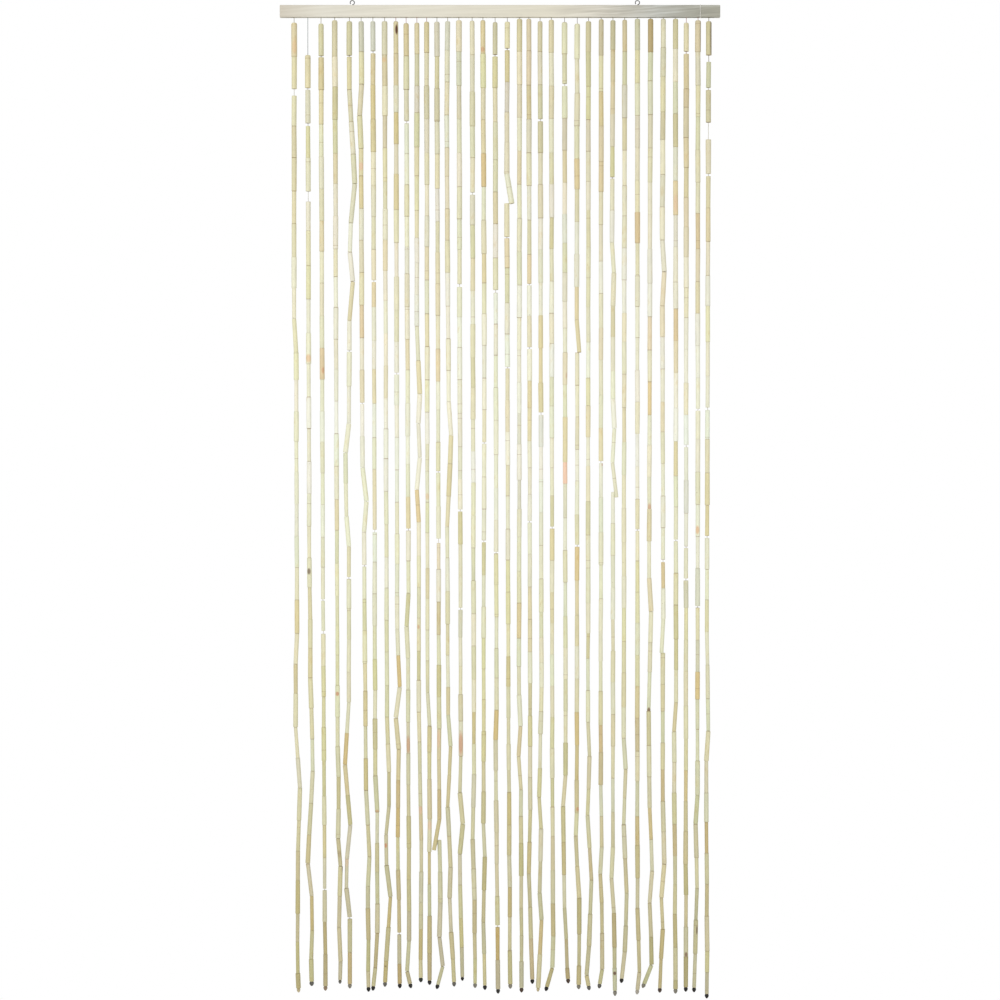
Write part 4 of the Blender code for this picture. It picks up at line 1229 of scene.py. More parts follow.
def attribute(tree, name, output="Fac"):
    """A mesh's own attribute, in a material."""
    return add(tree, "ShaderNodeAttribute", attribute_name=name).outputs[output]


def object_place(tree):
    """The place on the piece in the object's own frame."""
    return add(tree, "ShaderNodeTexCoord").outputs["Object"]


# The colours that show only here and there on a surface
CANE_STAIN = shade(226, 204, 160)
CANE_SPECK = shade(142, 110, 72)
CANE_RING = shade(150, 122, 80)
CANE_BORE = shade(176, 156, 116)
SEED_SPECK = shade(150, 140, 124)
WOOD_BAND = shade(240, 235, 226)
WOOD_SPECK = shade(160, 146, 122)
STEEL_BRIGHT = shade(104, 102, 100)
STEEL_DULL = shade(80, 78, 75)
FLOOR_LOW = shade(244, 244, 242)
FLOOR_HIGH = shade(250, 250, 249)

# How far from a tube's end its rim is worn, and from where it is worn through to the cut tone
WORN_DEPTH = 1.2 * MM
WORN_THROUGH = 0.2 * MM

# Down to where a strand's cord is soiled, from its root, and from where it is clean
SOILED_TO = 90 * MM
CLEAN_FROM = 130 * MM


def cane_finish():
    """Peeled cane: each tube's own tone, fibres along it, stains, specks, rings and worn ends."""
    settings = bpy.context.scene.curtain_tubes
    made, tree, shader = new_material("peeled_cane", 0.5)
    place = attribute(tree, "own_place", "Vector")
    chance = attribute(tree, "chance")
    streak = effect(tree, fibre_streaks, place=place, shift=chance, fineness=1100.0, stretch=40.0)
    patch = effect(tree, fibre_streaks, place=place, shift=chance, fineness=90.0, stretch=2.5)
    speck = effect(tree, specks, place=place, shift=chance, fineness=420.0, threshold=0.7)
    colour = attribute(tree, "tone", "Color")
    colour = brightened(tree, colour, spread(tree, streak, 0.3, 0.7, 0.92, 1.06))
    colour = brightened(tree, colour, spread(tree, patch, 0.35, 0.65, 0.95, 1.03))
    stain = spread(tree, patch, 0.58, 0.74, 0.0, 0.4)
    colour = mixed(tree, stain, colour, CANE_STAIN, "MULTIPLY")
    colour = mixed(tree, number(tree, "MULTIPLY", speck, 0.45), colour, CANE_SPECK)
    parts = parts_of(tree, place)
    from_ring = number(tree, "SUBTRACT", parts["Z"], attribute(tree, "ring"))
    ring = spread(tree, number(tree, "ABSOLUTE", from_ring), 0.3 * MM, 1.1 * MM, 0.4, 0.0)
    colour = mixed(tree, ring, colour, CANE_RING)
    colour = cane_ends(tree, cane_mark(tree, colour, place), parts, settings)
    tree.links.new(colour, shader.inputs["Base Color"])
    tree.links.new(spread(tree, patch, 0.3, 0.7, 0.42, 0.62), shader.inputs["Roughness"])
    height = number(tree, "ADD", streak, number(tree, "MULTIPLY", ring, 2.5))
    bump(tree, shader, height, 0.12 * MM)
    return made


def cane_mark(tree, colour, place):
    """The tube's colour with its charted mark, an oval with a soft edge."""
    arm = vector(tree, "SUBTRACT", place, attribute(tree, "mark_place", "Vector"))
    arm = vector(tree, "DIVIDE", arm, attribute(tree, "mark_size", "Vector"))
    oval = spread(tree, vector(tree, "LENGTH", arm), 0.6, 1.1, 1.0, 0.0)
    cover = number(tree, "MULTIPLY", oval, attribute(tree, "mark_tone", "Alpha"))
    return mixed(tree, cover, colour, attribute(tree, "mark_tone", "Color"))


def cane_ends(tree, colour, parts, settings):
    """The tube's colour with its worn rims and the darker wall of its bore."""
    half = TUBE_LENGTH / 2
    end = number(tree, "ABSOLUTE", parts["Z"])
    worn = spread(tree, end, half - WORN_DEPTH, half - WORN_THROUGH, 0.0, 1.0)
    worn = number(tree, "MULTIPLY", worn, attribute(tree, "worn"))
    colour = mixed(tree, worn, colour, settings.cut)
    across = add(tree, "ShaderNodeCombineXYZ", {0: parts["X"], 1: parts["Y"]}).outputs[0]
    inside = settings.radius - settings.wall
    radius = vector(tree, "LENGTH", across)
    bore = spread(tree, radius, inside, inside + settings.wall / 4, 0.7, 0.0)
    return mixed(tree, bore, colour, CANE_BORE)


def twisted_finish(name, roughness, colour, soiled=False):
    """Twisted thread: soft ridges that wind round the cord, and fuzz. A soiled cord has its own
    tone at its upper end, and is cleaner further down."""
    settings = bpy.context.scene.curtain_cords
    made, tree, shader = new_material(name, roughness, sheen_weight=0.3)
    along = attribute(tree, "along")
    section = parts_of(tree, attribute(tree, "round", "Vector"))
    angle = number(tree, "ARCTAN2", section["Y"], section["X"])
    turn = number(tree, "MULTIPLY", along, math.tau / settings.pitch)
    ridge = number(tree, "ABSOLUTE", number(tree, "SINE", number(tree, "ADD", turn, angle)))
    fuzz = effect(
        tree, fibre_streaks, place=object_place(tree), shift=0.0, fineness=1500.0, stretch=3.0
    )
    base = (*colour, 1)
    if soiled:
        clean = spread(tree, along, SOILED_TO, CLEAN_FROM, 0.0, 0.75)
        base = mixed(tree, clean, attribute(tree, "tone", "Color"), colour)
    tinted = brightened(tree, base, spread(tree, ridge, 0.0, 0.8, 0.72, 1.0))
    tinted = brightened(tree, tinted, spread(tree, fuzz, 0.3, 0.7, 0.9, 1.06))
    tree.links.new(tinted, shader.inputs["Base Color"])
    bump(tree, shader, ridge, 0.25 * MM)
    return made


def seed_finish():
    """Polished seeds, mottled in their own tone."""
    settings = bpy.context.scene.curtain_seeds
    made, tree, shader = new_material(
        "polished_seed", 0.4, specular_ior_level=0.25, coat_weight=settings.gloss,
        coat_roughness=0.18,
    )
    place = attribute(tree, "own_place", "Vector")
    chance = attribute(tree, "chance")
    patch = effect(tree, fibre_streaks, place=place, shift=chance, fineness=420.0, stretch=1.6)
    speck = effect(tree, specks, place=place, shift=chance, fineness=900.0, threshold=0.6)
    colour = attribute(tree, "tone", "Color")
    colour = brightened(tree, colour, spread(tree, patch, 0.3, 0.7, 0.6, 1.35))
    colour = mixed(tree, number(tree, "MULTIPLY", speck, 0.15), colour, SEED_SPECK)
    tree.links.new(colour, shader.inputs["Base Color"])
    tree.links.new(spread(tree, patch, 0.3, 0.7, 0.32, 0.5), shader.inputs["Roughness"])
    bump(tree, shader, patch, 0.15 * MM)
    return made


# Where along the rail, as shares of its length, each of its colours lies
# Those towards the right end are greyer in the wood's own tone, and darker as painted shade.
RAIL_STOPS = (
    (0, "left"), (0.1, "clean"), (0.6, "middle"), (0.73, "turning"), (0.86, "weathered"),
    (0.97, "right"),
)


def rail_tone(tree, share, settings):
    """The wood's tone at a share of the rail's length."""
    ramp = add(tree, "ShaderNodeValToRGB", {0: share})
    for _ in range(len(RAIL_STOPS) - 2):
        ramp.color_ramp.elements.new(0.5)
    for element, (position, tone) in zip(ramp.color_ramp.elements, RAIL_STOPS):
        element.position = position
        element.color = (*getattr(settings, tone), 1)
    return ramp.outputs["Color"]


def wood_finish():
    """Whitewood, grain along X slanting at the ends, greyer and in painted shade to the right."""
    settings = bpy.context.scene.curtain_rail
    made, tree, shader = new_material("sanded_whitewood", 0.62)
    place = object_place(tree)
    parts = parts_of(tree, place)
    slant = spread(tree, number(tree, "ABSOLUTE", parts["X"]), 0.12, 0.45, -0.02, -0.055)
    rise = number(tree, "ADD", parts["Z"], number(tree, "MULTIPLY", parts["X"], slant))
    grain = add(tree, "ShaderNodeCombineXYZ", {0: parts["Y"], 1: rise, 2: parts["X"]}).outputs[0]
    fine = effect(tree, fibre_streaks, place=grain, shift=2.0, fineness=900.0, stretch=60.0)
    broad = effect(tree, fibre_streaks, place=grain, shift=9.0, fineness=190.0, stretch=22.0)
    speck = effect(tree, specks, place=place, shift=4.0, fineness=260.0, threshold=0.72)
    share = spread(tree, parts["X"], RAIL_LOW.x, RAIL_HIGH.x, 0.0, 1.0)
    worn = spread(tree, share, 0.6, 0.76, 0.3, 1.3)
    fine_streaks = spread(tree, fine, 0.3, 0.7, -0.07, 0.04)
    broad_streaks = spread(tree, broad, 0.35, 0.65, -0.15, 0.1)
    streaks = number(tree, "MULTIPLY", number(tree, "ADD", fine_streaks, broad_streaks), worn)
    # The tone along the rail: greyer towards the right end, and darker there as painted shade.
    tone = rail_tone(tree, share, settings)
    colour = brightened(tree, tone, number(tree, "ADD", streaks, 1))
    bands = number(tree, "MULTIPLY", spread(tree, broad, 0.5, 0.62, 0.4, 0.0), worn)
    colour = mixed(tree, bands, colour, WOOD_BAND, "MULTIPLY")
    colour = mixed(tree, number(tree, "MULTIPLY", speck, 0.15), colour, WOOD_SPECK)
    tree.links.new(colour, shader.inputs["Base Color"])
    tree.links.new(spread(tree, fine, 0.3, 0.7, 0.55, 0.72), shader.inputs["Roughness"])
    bump(tree, shader, fine, 0.15 * MM)
    return made


def steel_finish():
    """Bright wire with duller spots."""
    made, tree, shader = new_material("bright_steel", 0.3, metallic=1.0)
    place = object_place(tree)
    wear = effect(tree, specks, place=place, shift=0.0, fineness=900.0, threshold=0.5)
    colour = mixed(tree, wear, STEEL_BRIGHT, STEEL_DULL)
    tree.links.new(colour, shader.inputs["Base Color"])
    tree.links.new(spread(tree, wear, 0.0, 1.0, 0.24, 0.42), shader.inputs["Roughness"])
    return made


def floor_finish():
    """A pale floor, which runs into the white behind it where the camera looks at it."""
    made, tree, shader = new_material("pale_floor", 0.7)
    seen = add(tree, "ShaderNodeLightPath").outputs["Is Camera Ray"]
    white = add(tree, "ShaderNodeEmission", {"Color": (1, 1, 1, 1), "Strength": 1})
    either = add(
        tree, "ShaderNodeMixShader", {0: seen, 1: shader.outputs[0], 2: white.outputs[0]}
    )
    tree.links.new(either.outputs[0], tree.nodes["Material Output"].inputs["Surface"])
    place = object_place(tree)
    soft = effect(tree, fibre_streaks, place=place, shift=0.0, fineness=3.0, stretch=1.0)
    colour = mixed(tree, soft, FLOOR_LOW, FLOOR_HIGH)
    tree.links.new(colour, shader.inputs["Base Color"])
    return made


# The stage

# Each light: its place in metres, the setting that holds its power, and the length of its side
Lamp = namedtuple("Lamp", "place power side")
LAMPS = {
    "key_light": Lamp((-1.9, -2.2, 0.6), "key", 1.8),
    "fill_light": Lamp((1.4, -4.4, -1.5), "fill", 1.8),
    "back_light": Lamp((2.6, 4.2, 1.2), "back", 2.6),
}

# The floor reaches this far to each side of a middle behind the curtain, in metres.
FLOOR_REACH = 4
FLOOR_BACK = 1
FLOOR_CELLS = 8

# The camera looks along +Y, at the height of the picture's middle.
CAMERA_BELOW = 0.999
SENSOR_WIDTH = 36
FARTHEST_SEEN = 100


class SetStage(bpy.types.Operator):
    """Sets the floor, the soft lights and the camera"""

    bl_idname = "curtain.set_stage"
    bl_label = "Stage"

    def execute(self, context):
        settings = context.scene.curtain_stage
        self.floor(settings)
        self.world(context.scene, settings)
        centre = (CAD_BOX[0] + CAD_BOX[1]) / 2
        for name, lamp in LAMPS.items():
            self.light(name, lamp, getattr(settings, lamp.power), centre)
        self.camera(context.scene, settings)
        return {"FINISHED"}

    def floor(self, settings):
        """A wide flat floor, which the curtain hangs clear of."""
        cells = bmesh.new()
        bmesh.ops.create_grid(
            cells, x_segments=FLOOR_CELLS, y_segments=FLOOR_CELLS, size=FLOOR_REACH
        )
        height = CAD_BOX[0].z - settings.floor_drop
        bmesh.ops.translate(cells, verts=cells.verts, vec=(0, FLOOR_BACK, height))
        mesh = mesh_of("floor", cells)
        mesh.materials.append(floor_finish())
        placed("floor", mesh)

    def world(self, scene, settings):
        """White where the camera looks past the curtain, and a softer white as light."""
        scene.world = bpy.data.worlds.new("studio")
        scene.world.use_nodes = True
        tree = scene.world.node_tree
        seen = add(tree, "ShaderNodeLightPath").outputs["Is Camera Ray"]
        strength = number(tree, "MAXIMUM", seen, settings.ambient)
        tree.links.new(strength, tree.nodes["Background"].inputs["Strength"])
        tree.nodes["Background"].inputs["Color"].default_value = (1, 1, 1, 1)
        scene.view_settings.view_transform = "Standard"

    def light(self, name, lamp, power, target):
        """A square soft light that faces the target."""
        data = bpy.data.lights.new(name, "AREA")
        data.energy = power
        data.size = lamp.side
        obj = placed(name, data)
        obj.location = lamp.place
        obj.rotation_euler = (target - obj.location).to_track_quat("-Z", "Y").to_euler()

    def camera(self, scene, settings):
        """Level and square to the curtain."""
        lens = bpy.data.cameras.new("camera")
        lens.lens = settings.lens
        lens.sensor_width = SENSOR_WIDTH
        lens.clip_end = FARTHEST_SEEN
        camera = placed("camera", lens)
        away = settings.framed * settings.lens / lens.sensor_width
        camera.location = (0, MIDDLE_Y - away, -CAMERA_BELOW)
        camera.rotation_euler = (math.radians(90), 0, 0)
        scene.camera = camera


# The rail


class DressRail(bpy.types.Operator):
    """Gives the rail its wood"""

    bl_idname = "curtain.dress_rail"
    bl_label = "Rail"

    def execute(self, context):
        cells = bmesh.new()
        cells.from_mesh(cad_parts["rail"].data)
        bmesh.ops.remove_doubles(cells, verts=cells.verts, dist=WELD)
        mesh = smoothed(mesh_of("rail_bar", cells))
        mesh.materials.clear()
        mesh.materials.append(wood_finish())
        fitted(placed("rail_bar", mesh), "whitewood", "rail")
        return {"FINISHED"}


# The tubes and their looks

# How one tube looks, as the attributes of its point: its turn about its cord, a number that
# shifts its patterns, the height of its ring over its middle, its tone, how worn its ends are,
# and the place, size and tone of its mark
LOOK_KINDS = {
    "spin": "FLOAT",
    "chance": "FLOAT",
    "ring": "FLOAT",
    "tone": "FLOAT_COLOR",
    "worn": "FLOAT",
    "mark_place": "FLOAT_VECTOR",
    "mark_size": "FLOAT_VECTOR",
    "mark_tone": "FLOAT_COLOR",
}
Look = namedtuple("Look", LOOK_KINDS)

# A height at which a ring or mark is off every tube, and the mark of a tube that has none
FAR = 1.0
NO_MARK = ((FAR, 0, 0), (MM, MM, MM), (0, 0, 0, 0))

# The shares of the tubes that show a ring, and that have well-worn ends, and how worn those and
# the others are
RING_SHARE = 0.12
WORN_SHARE = 0.3
WELL_WORN = (0.5, 0.9)
LITTLE_WORN = (0, 0.2)

# How much one step of chance makes the red, green and blue of a tube paler, cooler or rosier.
# The steps are smaller for tubes that are charted, and larger towards the strands' ends, where
# the tubes also differ in how dull they are.
PALER = (0.04, 0.047, 0.103)
COOLER = (-0.01, 0, 0.04)
ROSIER = (0.012, -0.01, 0)
DULLER = (0.055, 0.055, 0.03)
CALM = 0.5
END_SWING = 0.35
LOWEST_STEP, HIGHEST_STEP = -2, 1.4

# Where down the strands, as shares of their drop, each common tone lies
# The tones paint the light: palest above the middle as painted light, darker at the head and the
# foot as painted shade.
TONE_STOPS = ((0.1, "head"), (0.25, "upper"), (0.42, "middle"), (0.66, "lower"), (0.97, "foot"))


def looks_of(number_of_strand, strand, tubes, settings):
    """How each tube of a strand looks: as charted, and by seeded chance."""
    chance = random.Random(TUBE_TONES_START + number_of_strand)
    looks = []
    for tube in tubes:
        top, foot = ((RAIL_UNDERSIDE - end.z) / CM for end in (tube.top, tube.foot))
        middle = (top + foot) / 2
        low = middle / strand.drop
        from_middle = (2 * low - 1) ** 2
        # The common tone down the strand carries painted light above the middle and painted shade
        # at the ends.
        tone, swing = base_tone(low, settings), 1 + END_SWING * from_middle
        for first, last, name in TINTS.get(number_of_strand, ()):
            if first < middle < last:
                tone, swing = tone * Vector(TONES[name]), CALM
        for kind, reach in ((PALER, 1), (COOLER, 1), (ROSIER, 1), (DULLER, from_middle)):
            step = max(LOWEST_STEP, min(HIGHEST_STEP, chance.gauss(0, 1))) * swing * reach
            tone = Vector(part * (1 + share * step) for part, share in zip(tone, kind))
        spin, shift = chance.uniform(0, math.tau), chance.uniform(0, 100)
        ring = chance.uniform(-1, 1) * TUBE_LENGTH / 2
        if chance.random() > RING_SHARE:
            ring = FAR
        worn = chance.uniform(*(WELL_WORN if chance.random() < WORN_SHARE else LITTLE_WORN))
        mark = mark_on(number_of_strand, top, foot, settings.radius)
        if mark is not NO_MARK:
            spin = 0
        looks.append(Look(spin, shift, ring, (*tone, 1), worn, *mark))
    return looks


def mark_on(number_of_strand, top, foot, radius):
    """The charted mark on a tube between two depths in cm: its place, its size and its tone."""
    for mark in MARKS:
        if mark.strand == number_of_strand and top < mark.depth <= foot:
            front = -math.sqrt(max(0, radius ** 2 - (mark.right * MM) ** 2))
            place = (mark.right * MM, front, ((top + foot) / 2 - mark.depth) * CM)
            size = (mark.wide / 2 * MM, mark.wide / 2 * MM, mark.high / 2 * MM)
            return place, size, (*MARK_TONES[mark.tone], mark.cover)
    return NO_MARK


def base_tone(low, settings):
    """The common tone at a share of the strand's drop, with its painted light and shade."""
    stops = [(share, Vector(getattr(settings, name))) for share, name in TONE_STOPS]
    for (above, first), (below, second) in zip(stops, stops[1:]):
        if low <= below:
            return first.lerp(second, max(0, (low - above) / (below - above)))
    return stops[-1][1]


# The first tube of each strand, and the others
HEADS = slice(0, 1)
OTHERS = slice(1, None)

# The radius of a head tube's tapered top, and of the hole in it, as shares of the tube's
TOP_SHARE = 0.76
HOLE_SHARE = 0.3


class ThreadTubes(bpy.types.Operator):
    """Threads the bamboo tubes, nine strands to a piece"""

    bl_idname = "curtain.thread_tubes"
    bl_label = "Bamboo tubes"

    def execute(self, context):
        settings = context.scene.curtain_tubes
        finish = cane_finish()
        for first in range(1, len(STRANDS), STRANDS_A_PIECE):
            last = first + STRANDS_A_PIECE - 1
            name = f"tubes_of_strands_{first}_to_{last}"
            points = self.points(name, range(first, last + 1), OTHERS, settings)
            piece = grown(
                name, points, cane_tubes, radius=settings.radius, length=TUBE_LENGTH,
                wall=settings.wall, eased_rim=settings.eased, sides=settings.sides, finish=finish,
            )
            fitted(piece, "bamboo", *STRAND_NODES)
        self.head_tubes(settings, finish)
        return {"FINISHED"}

    def head_tubes(self, settings, finish):
        """The first tube of each strand, with its tapered top."""
        half, out, eased = TUBE_LENGTH / 2, settings.radius, settings.eased
        inner, shoulder = out - settings.wall, half - settings.neck
        profile = [
            (inner, -half), (out - eased, -half), (out, -half + eased), (out, shoulder),
            (out * TOP_SHARE, half), (out * HOLE_SHARE, half), (out * HOLE_SHARE, shoulder),
            (inner, half - 2 * settings.neck), (inner, -half),
        ]
        shape = turned("head_tube", profile, settings.sides)
        points = self.points("head_tubes", range(1, len(STRANDS) + 1), HEADS, settings)
        piece = grown("head_tubes", points, shape_on_points, shape=shape, finish=finish)
        bpy.data.objects.remove(shape)
        fitted(piece, "bamboo", *STRAND_NODES)

    def points(self, name, numbers, chosen, settings):
        """A point at the middle of each chosen tube, with its size, turn and looks."""
        rows = []
        for number_of_strand in numbers:
            strand = STRANDS[number_of_strand - 1]
            tubes = tubes_of(number_of_strand, strand)
            looks = looks_of(number_of_strand, strand, tubes, settings)
            rows += zip(tubes[chosen], looks[chosen])
        places, axes, sizes, tapers = [], [], [], []
        for tube, _ in rows:
            line = tube.top - tube.foot
            radii = tube.top_radius + tube.foot_radius
            wide = radii / 2 / settings.radius
            places.append((tube.top + tube.foot) / 2)
            axes.append(line.normalized())
            sizes.append((wide, wide, line.length / TUBE_LENGTH))
            tapers.append((tube.top_radius - tube.foot_radius) / radii / (TUBE_LENGTH / 2))
        attributes = {
            ("axis", "FLOAT_VECTOR"): axes, ("size", "FLOAT_VECTOR"): sizes,
            ("taper", "FLOAT"): tapers,
        }
        for label, kind in LOOK_KINDS.items():
            attributes[label, kind] = [getattr(look, label) for _, look in rows]
        return cloud(name, places, attributes)


# The cords

CORD_SIDES = 6

# The cords whose colour stands out: bluish, rosy and grey ones
CORD_TONES = {
    shade(146, 153, 153): (2,),
    shade(190, 146, 136): (9, 10, 11, 12, 34, 35),
    shade(160, 150, 146): (19, 24, 25, 26),
}

# How bright the others are, and how much the warmest gain or lose of their red, green and blue
CORD_LIGHT = (0.8, 1.1)
CORD_WARMER = (0.03, 0, -0.1)

# The knots at the cords' roots, as (radius, height) in mm, and the turn from each to the next
KNOT_PROFILE = ((0, 1.6), (1.2, 1.3), (1.7, 0.3), (1.4, -0.9), (0.8, -1.6), (0, -1.8))
KNOT_SIDES = 8
KNOT_TURN = 2.4
KNOT_HEIGHT = 2.2 * MM

# The tapes that the knots hold on: from the parting at the rail's middle to their outer ends
TAPE_WIDTH = 4.4 * MM
TAPE_THICK = 1.8 * MM
TAPE_EDGE = 0.4 * MM
TAPE_REACH = 437 * MM
TAPE_PARTING = 1 * MM
TAPE_ENDS = {"left": (-TAPE_REACH, -TAPE_PARTING), "right": (TAPE_PARTING, TAPE_REACH)}


class HangCords(bpy.types.Operator):
    """Hangs the cords that run through the tubes, and knots their roots in the rail's groove"""

    bl_idname = "curtain.hang_cords"
    bl_label = "Cords"

    def execute(self, context):
        settings = context.scene.curtain_cords
        numbers = range(1, len(STRANDS) + 1)
        chains = [self.chain(number_of_strand) for number_of_strand in numbers]
        tones = [self.tone(number_of_strand, settings) for number_of_strand in numbers]
        cords = grown(
            "strand_cords", chained("strand_cords", chains, tones), wire_on_edges,
            thickness=settings.thick, sides=CORD_SIDES,
            finish=twisted_finish("cotton_cord", 0.75, settings.clean, soiled=True),
        )
        fitted(cords, "thread", *STRAND_NODES)
        plain = twisted_finish("heading_tape", 0.75, settings.colour)
        self.knots([chain[0] for chain in chains], plain)
        self.tapes(plain)
        return {"FINISHED"}

    def tone(self, number_of_strand, settings):
        """The cords are greyer, yellower or pinker by chance, and a few are charted."""
        chance = random.Random(CORD_TONES_START + number_of_strand)
        light, warm = chance.uniform(*CORD_LIGHT), chance.uniform(-1, 1)
        for tone, numbers in CORD_TONES.items():
            if number_of_strand in numbers:
                return tone
        parts = zip(settings.colour, CORD_WARMER)
        return tuple(part * light * (1 + gain * warm) for part, gain in parts)

    def chain(self, number_of_strand):
        """From the knot in the groove, through the bore of each tube, to the seed."""
        strand = STRANDS[number_of_strand - 1]
        chain = [Vector((strand.across * MM, MIDDLE_Y, RAIL_UNDERSIDE + KNOT_HEIGHT))]
        for tube in tubes_of(number_of_strand, strand):
            chain += [tube.top, tube.foot]
        along = (chain[-1] - chain[-2]).normalized()
        return chain + [chain[-1] + along * SEED_LENGTH / 2]

    def knots(self, roots, finish):
        """A knot at each cord's root."""
        profile = [(radius * MM, height * MM) for radius, height in KNOT_PROFILE]
        shape = turned("knot", profile, KNOT_SIDES)
        points = cloud("root_knots", roots, {
            ("axis", "FLOAT_VECTOR"): [(0, 0, 1)] * len(roots),
            ("size", "FLOAT_VECTOR"): [(1, 1, 1)] * len(roots),
            ("spin", "FLOAT"): [index * KNOT_TURN for index in range(len(roots))],
        })
        piece = grown("root_knots", points, shape_on_points, shape=shape, finish=finish)
        bpy.data.objects.remove(shape)
        fitted(piece, "thread", *STRAND_NODES)

    def tapes(self, finish):
        """The woven tapes in the groove that the knots hold on."""
        height = RAIL_UNDERSIDE + KNOT_HEIGHT + TAPE_THICK
        for half, (start, end) in TAPE_ENDS.items():
            cells = bmesh.new()
            bmesh.ops.create_cube(cells, size=1)
            size = Vector((end - start, TAPE_WIDTH, TAPE_THICK))
            bmesh.ops.scale(cells, vec=size, verts=cells.verts)
            middle = Vector(((start + end) / 2, MIDDLE_Y, height))
            bmesh.ops.translate(cells, vec=middle, verts=cells.verts)
            bmesh.ops.bevel(
                cells, geom=cells.edges, offset=TAPE_EDGE, segments=2, affect="EDGES", profile=0.5
            )
            name = "heading_tape_" + half
            mesh = smoothed(mesh_of(name, cells))
            mesh.materials.append(finish)
            fitted(placed(name, mesh), "thread", "strands_" + half)


# The seeds

# A seed's outline from its top to its tip, as shares of its radius and of its length
SEED_OUTLINE = (
    (0, 0), (0.5, 0.0), (0.8, 0.08), (0.97, 0.24), (1.0, 0.4), (0.88, 0.6), (0.6, 0.82),
    (0.34, 0.95), (0.14, 1.0), (0, 1.0),
)

# The turn from each seed to the next, which shifts its pattern too, and the gap over a seed
SEED_TURN = 3.7
CLEAR_OF_TUBE = 0.2 * MM


class StringSeeds(bpy.types.Operator):
    """Strings a seed on the end of each cord"""

    bl_idname = "curtain.string_seeds"
    bl_label = "End seeds"

    def execute(self, context):
        settings = context.scene.curtain_seeds
        wide, high = COMMON_SEED.wide / 2 * MM, COMMON_SEED.high * MM
        profile = [(out * wide, -down * high) for out, down in SEED_OUTLINE]
        shape = turned("seed", profile, settings.sides)
        places, axes, sizes, tones, turns = [], [], [], [], []
        for number_of_strand, strand in enumerate(STRANDS, 1):
            seed = SEEDS.get(number_of_strand, COMMON_SEED)
            last = tubes_of(number_of_strand, strand)[-1]
            axes.append((last.top - last.foot).normalized())
            places.append(last.foot - axes[-1] * CLEAR_OF_TUBE)
            across = seed.wide / COMMON_SEED.wide
            sizes.append((across, across, seed.high / COMMON_SEED.high))
            tones.append((*SEED_TONES[seed.tone], 1))
            turns.append(number_of_strand * SEED_TURN)
        points = cloud("end_seeds", places, {
            ("axis", "FLOAT_VECTOR"): axes,
            ("size", "FLOAT_VECTOR"): sizes,
            ("spin", "FLOAT"): turns,
            ("chance", "FLOAT"): turns,
            ("tone", "FLOAT_COLOR"): tones,
        })
        piece = grown("end_seeds", points, shape_on_points, shape=shape, finish=seed_finish())
        bpy.data.objects.remove(shape)
        fitted(piece, "seed", *STRAND_NODES)
        return {"FINISHED"}


# The screw eyes

# Where on the ring the shank's bend runs into it, and where the shank stands, as angles from
# the right; the bend is drawn to a point this far below where it meets the ring.
RING_START = math.radians(-72)
SHANK_ANGLE = math.radians(270)
BEND_DIP = 0.4 * MM
BEND_STEPS = 5
RING_STEPS = 40
WIRE_SIDES = 12


class BendEyes(bpy.types.Operator):
    """Bends the two screw eyes of steel wire"""

    bl_idname = "curtain.bend_eyes"
    bl_label = "Screw eyes"

    def execute(self, context):
        settings = context.scene.curtain_eyes
        finish = steel_finish()
        for node in ("eye_left", "eye_right"):
            low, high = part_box(node)
            ring_height = high.z - settings.wire / 2 - settings.ring
            centre = Vector(((low.x + high.x) / 2, MIDDLE_Y, ring_height))
            piece = grown(
                "screw_" + node, chained(node, [self.path(centre, settings)]), wire_on_edges,
                thickness=settings.wire, sides=WIRE_SIDES, finish=finish,
            )
            fitted(piece, "steel", node)
        return {"FINISHED"}

    def path(self, centre, settings):
        """Up the shank, over a tight bend, and round the ring almost to the shank again."""
        def on_ring(angle):
            """The point of the ring at an angle from the right."""
            return Vector((math.cos(angle), 0, math.sin(angle))) * settings.ring + centre

        foot = Vector((centre.x, MIDDLE_Y, RAIL_TOP - settings.shank))
        neck = Vector((centre.x, MIDDLE_Y, RAIL_TOP))
        meeting = on_ring(RING_START)
        lead = Vector((centre.x, MIDDLE_Y, meeting.z - BEND_DIP))
        shares = [step / BEND_STEPS for step in range(1, BEND_STEPS)]
        turn = SHANK_ANGLE - settings.gap - RING_START
        ring = [on_ring(RING_START + turn * step / RING_STEPS) for step in range(RING_STEPS + 1)]
        return [foot, neck] + bend(neck, lead, meeting, shares) + ring


# The tie

# How far the tie's end reaches back under the rail, and how its corners are rounded
TIE_UNDER = 6 * MM
TIE_BEND = 2 * MM
TIE_BEND_STEPS = 6

# The steps in a turn of the plies, and how far they lie off the tie's middle, in ply thicknesses
TWIST_STEPS = 12
PLY_OFF = 0.42
PLY_SIDES = 8


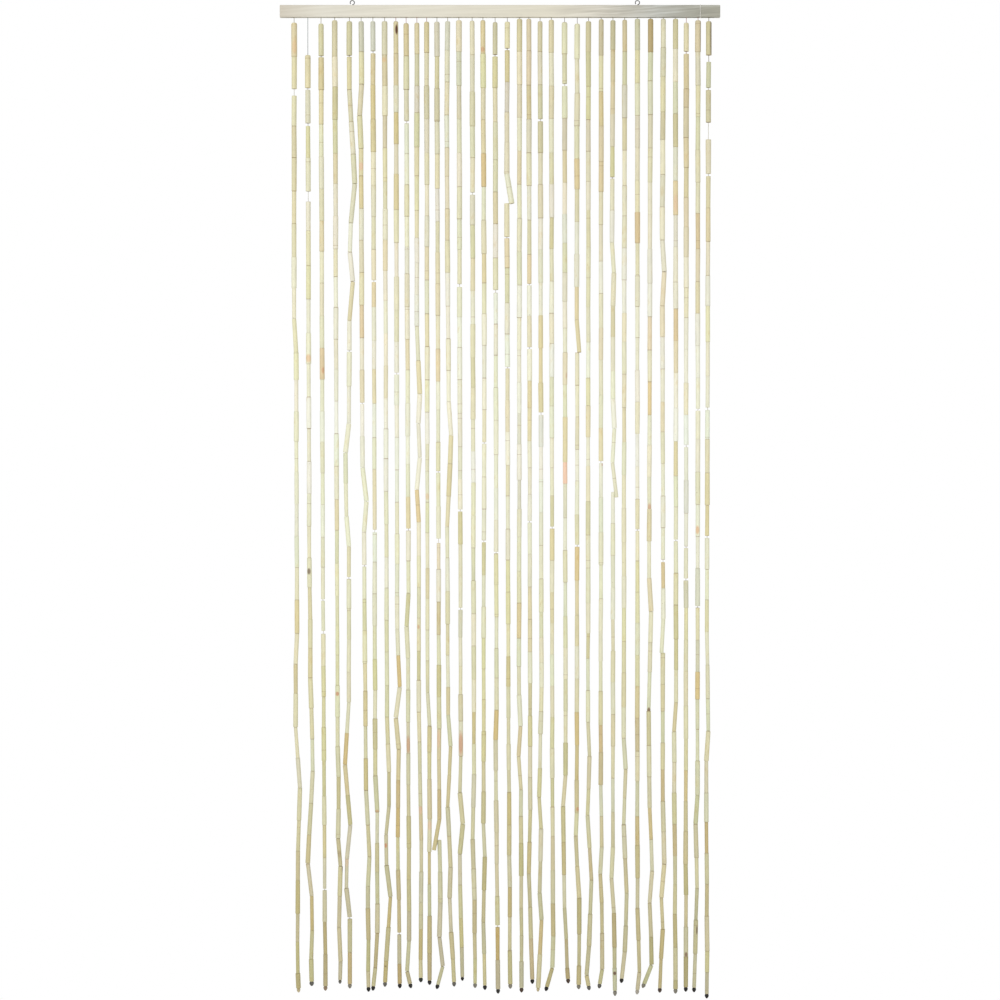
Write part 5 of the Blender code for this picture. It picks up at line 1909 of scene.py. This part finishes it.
class WindTie(bpy.types.Operator):
    """Winds the two-ply tie over the rail's front near its right end"""

    bl_idname = "curtain.wind_tie"
    bl_label = "Tie"

    def execute(self, context):
        settings = context.scene.curtain_cords
        low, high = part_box("tie_cord")
        across = (low.x + high.x) / 2
        half = (high.x - low.x) / 2
        front, top, under = low.y + half, high.z - half, low.z + half
        corners = [
            Vector((across, low.y + TIE_UNDER, under)),
            Vector((across, front, under)),
            Vector((across, front, top)),
            Vector((across, high.y, top)),
        ]
        plies = self.plies(round_path(corners, TIE_BEND, TIE_BEND_STEPS), settings)
        piece = grown(
            "tie", chained("tie", plies), wire_on_edges, thickness=settings.ply,
            sides=PLY_SIDES, finish=twisted_finish("white_tie", 0.6, settings.tie),
        )
        fitted(piece, "thread", "tie_cord")
        return {"FINISHED"}

    def plies(self, path, settings):
        """Two chains that wind round the path."""
        plies = [[], []]
        run = 0
        side = Vector((1, 0, 0))
        for start, end in zip(path, path[1:]):
            length = (end - start).length
            other = (end - start).normalized().cross(side)
            steps = max(1, round(length / (settings.pitch / TWIST_STEPS)))
            for step in range(steps):
                share = step / steps
                turn = math.tau * (run + length * share) / settings.pitch
                arm = (side * math.cos(turn) + other * math.sin(turn)) * settings.ply * PLY_OFF
                point = start.lerp(end, share)
                plies[0].append(point + arm)
                plies[1].append(point - arm)
            run += length
        return plies


class CurtainPanel(bpy.types.Panel):
    """Lists the pieces of the curtain and their settings"""

    bl_idname = "VIEW3D_PT_curtain"
    bl_label = "Door curtain"
    bl_space_type = "VIEW_3D"
    bl_region_type = "UI"
    bl_category = "Curtain"

    def draw(self, context):
        for operator in OPERATORS:
            self.layout.operator(operator.bl_idname)
        for name, group in SETTINGS.items():
            box = self.layout.box()
            box.label(text=group.__doc__)
            for label in group.__annotations__:
                box.prop(getattr(context.scene, name), label)


OPERATORS = (SetStage, DressRail, ThreadTubes, HangCords, StringSeeds, BendEyes, WindTie)
CLASSES = (*SETTINGS.values(), *OPERATORS, CurtainPanel)


def register():
    """Registers the classes, and puts the settings on the scene."""
    for made in CLASSES:
        bpy.utils.register_class(made)
    for name, group in SETTINGS.items():
        setattr(bpy.types.Scene, name, bpy.props.PointerProperty(type=group))


def unregister():
    """Takes the settings and the classes away again."""
    for name in SETTINGS:
        delattr(bpy.types.Scene, name)
    for made in reversed(CLASSES):
        bpy.utils.unregister_class(made)


def main():
    """Makes every piece in order."""
    register()
    bpy.ops.curtain.set_stage()
    bpy.ops.curtain.dress_rail()
    bpy.ops.curtain.thread_tubes()
    bpy.ops.curtain.hang_cords()
    bpy.ops.curtain.string_seeds()
    bpy.ops.curtain.bend_eyes()
    bpy.ops.curtain.wind_tie()


if __name__ == "__main__":
    main()
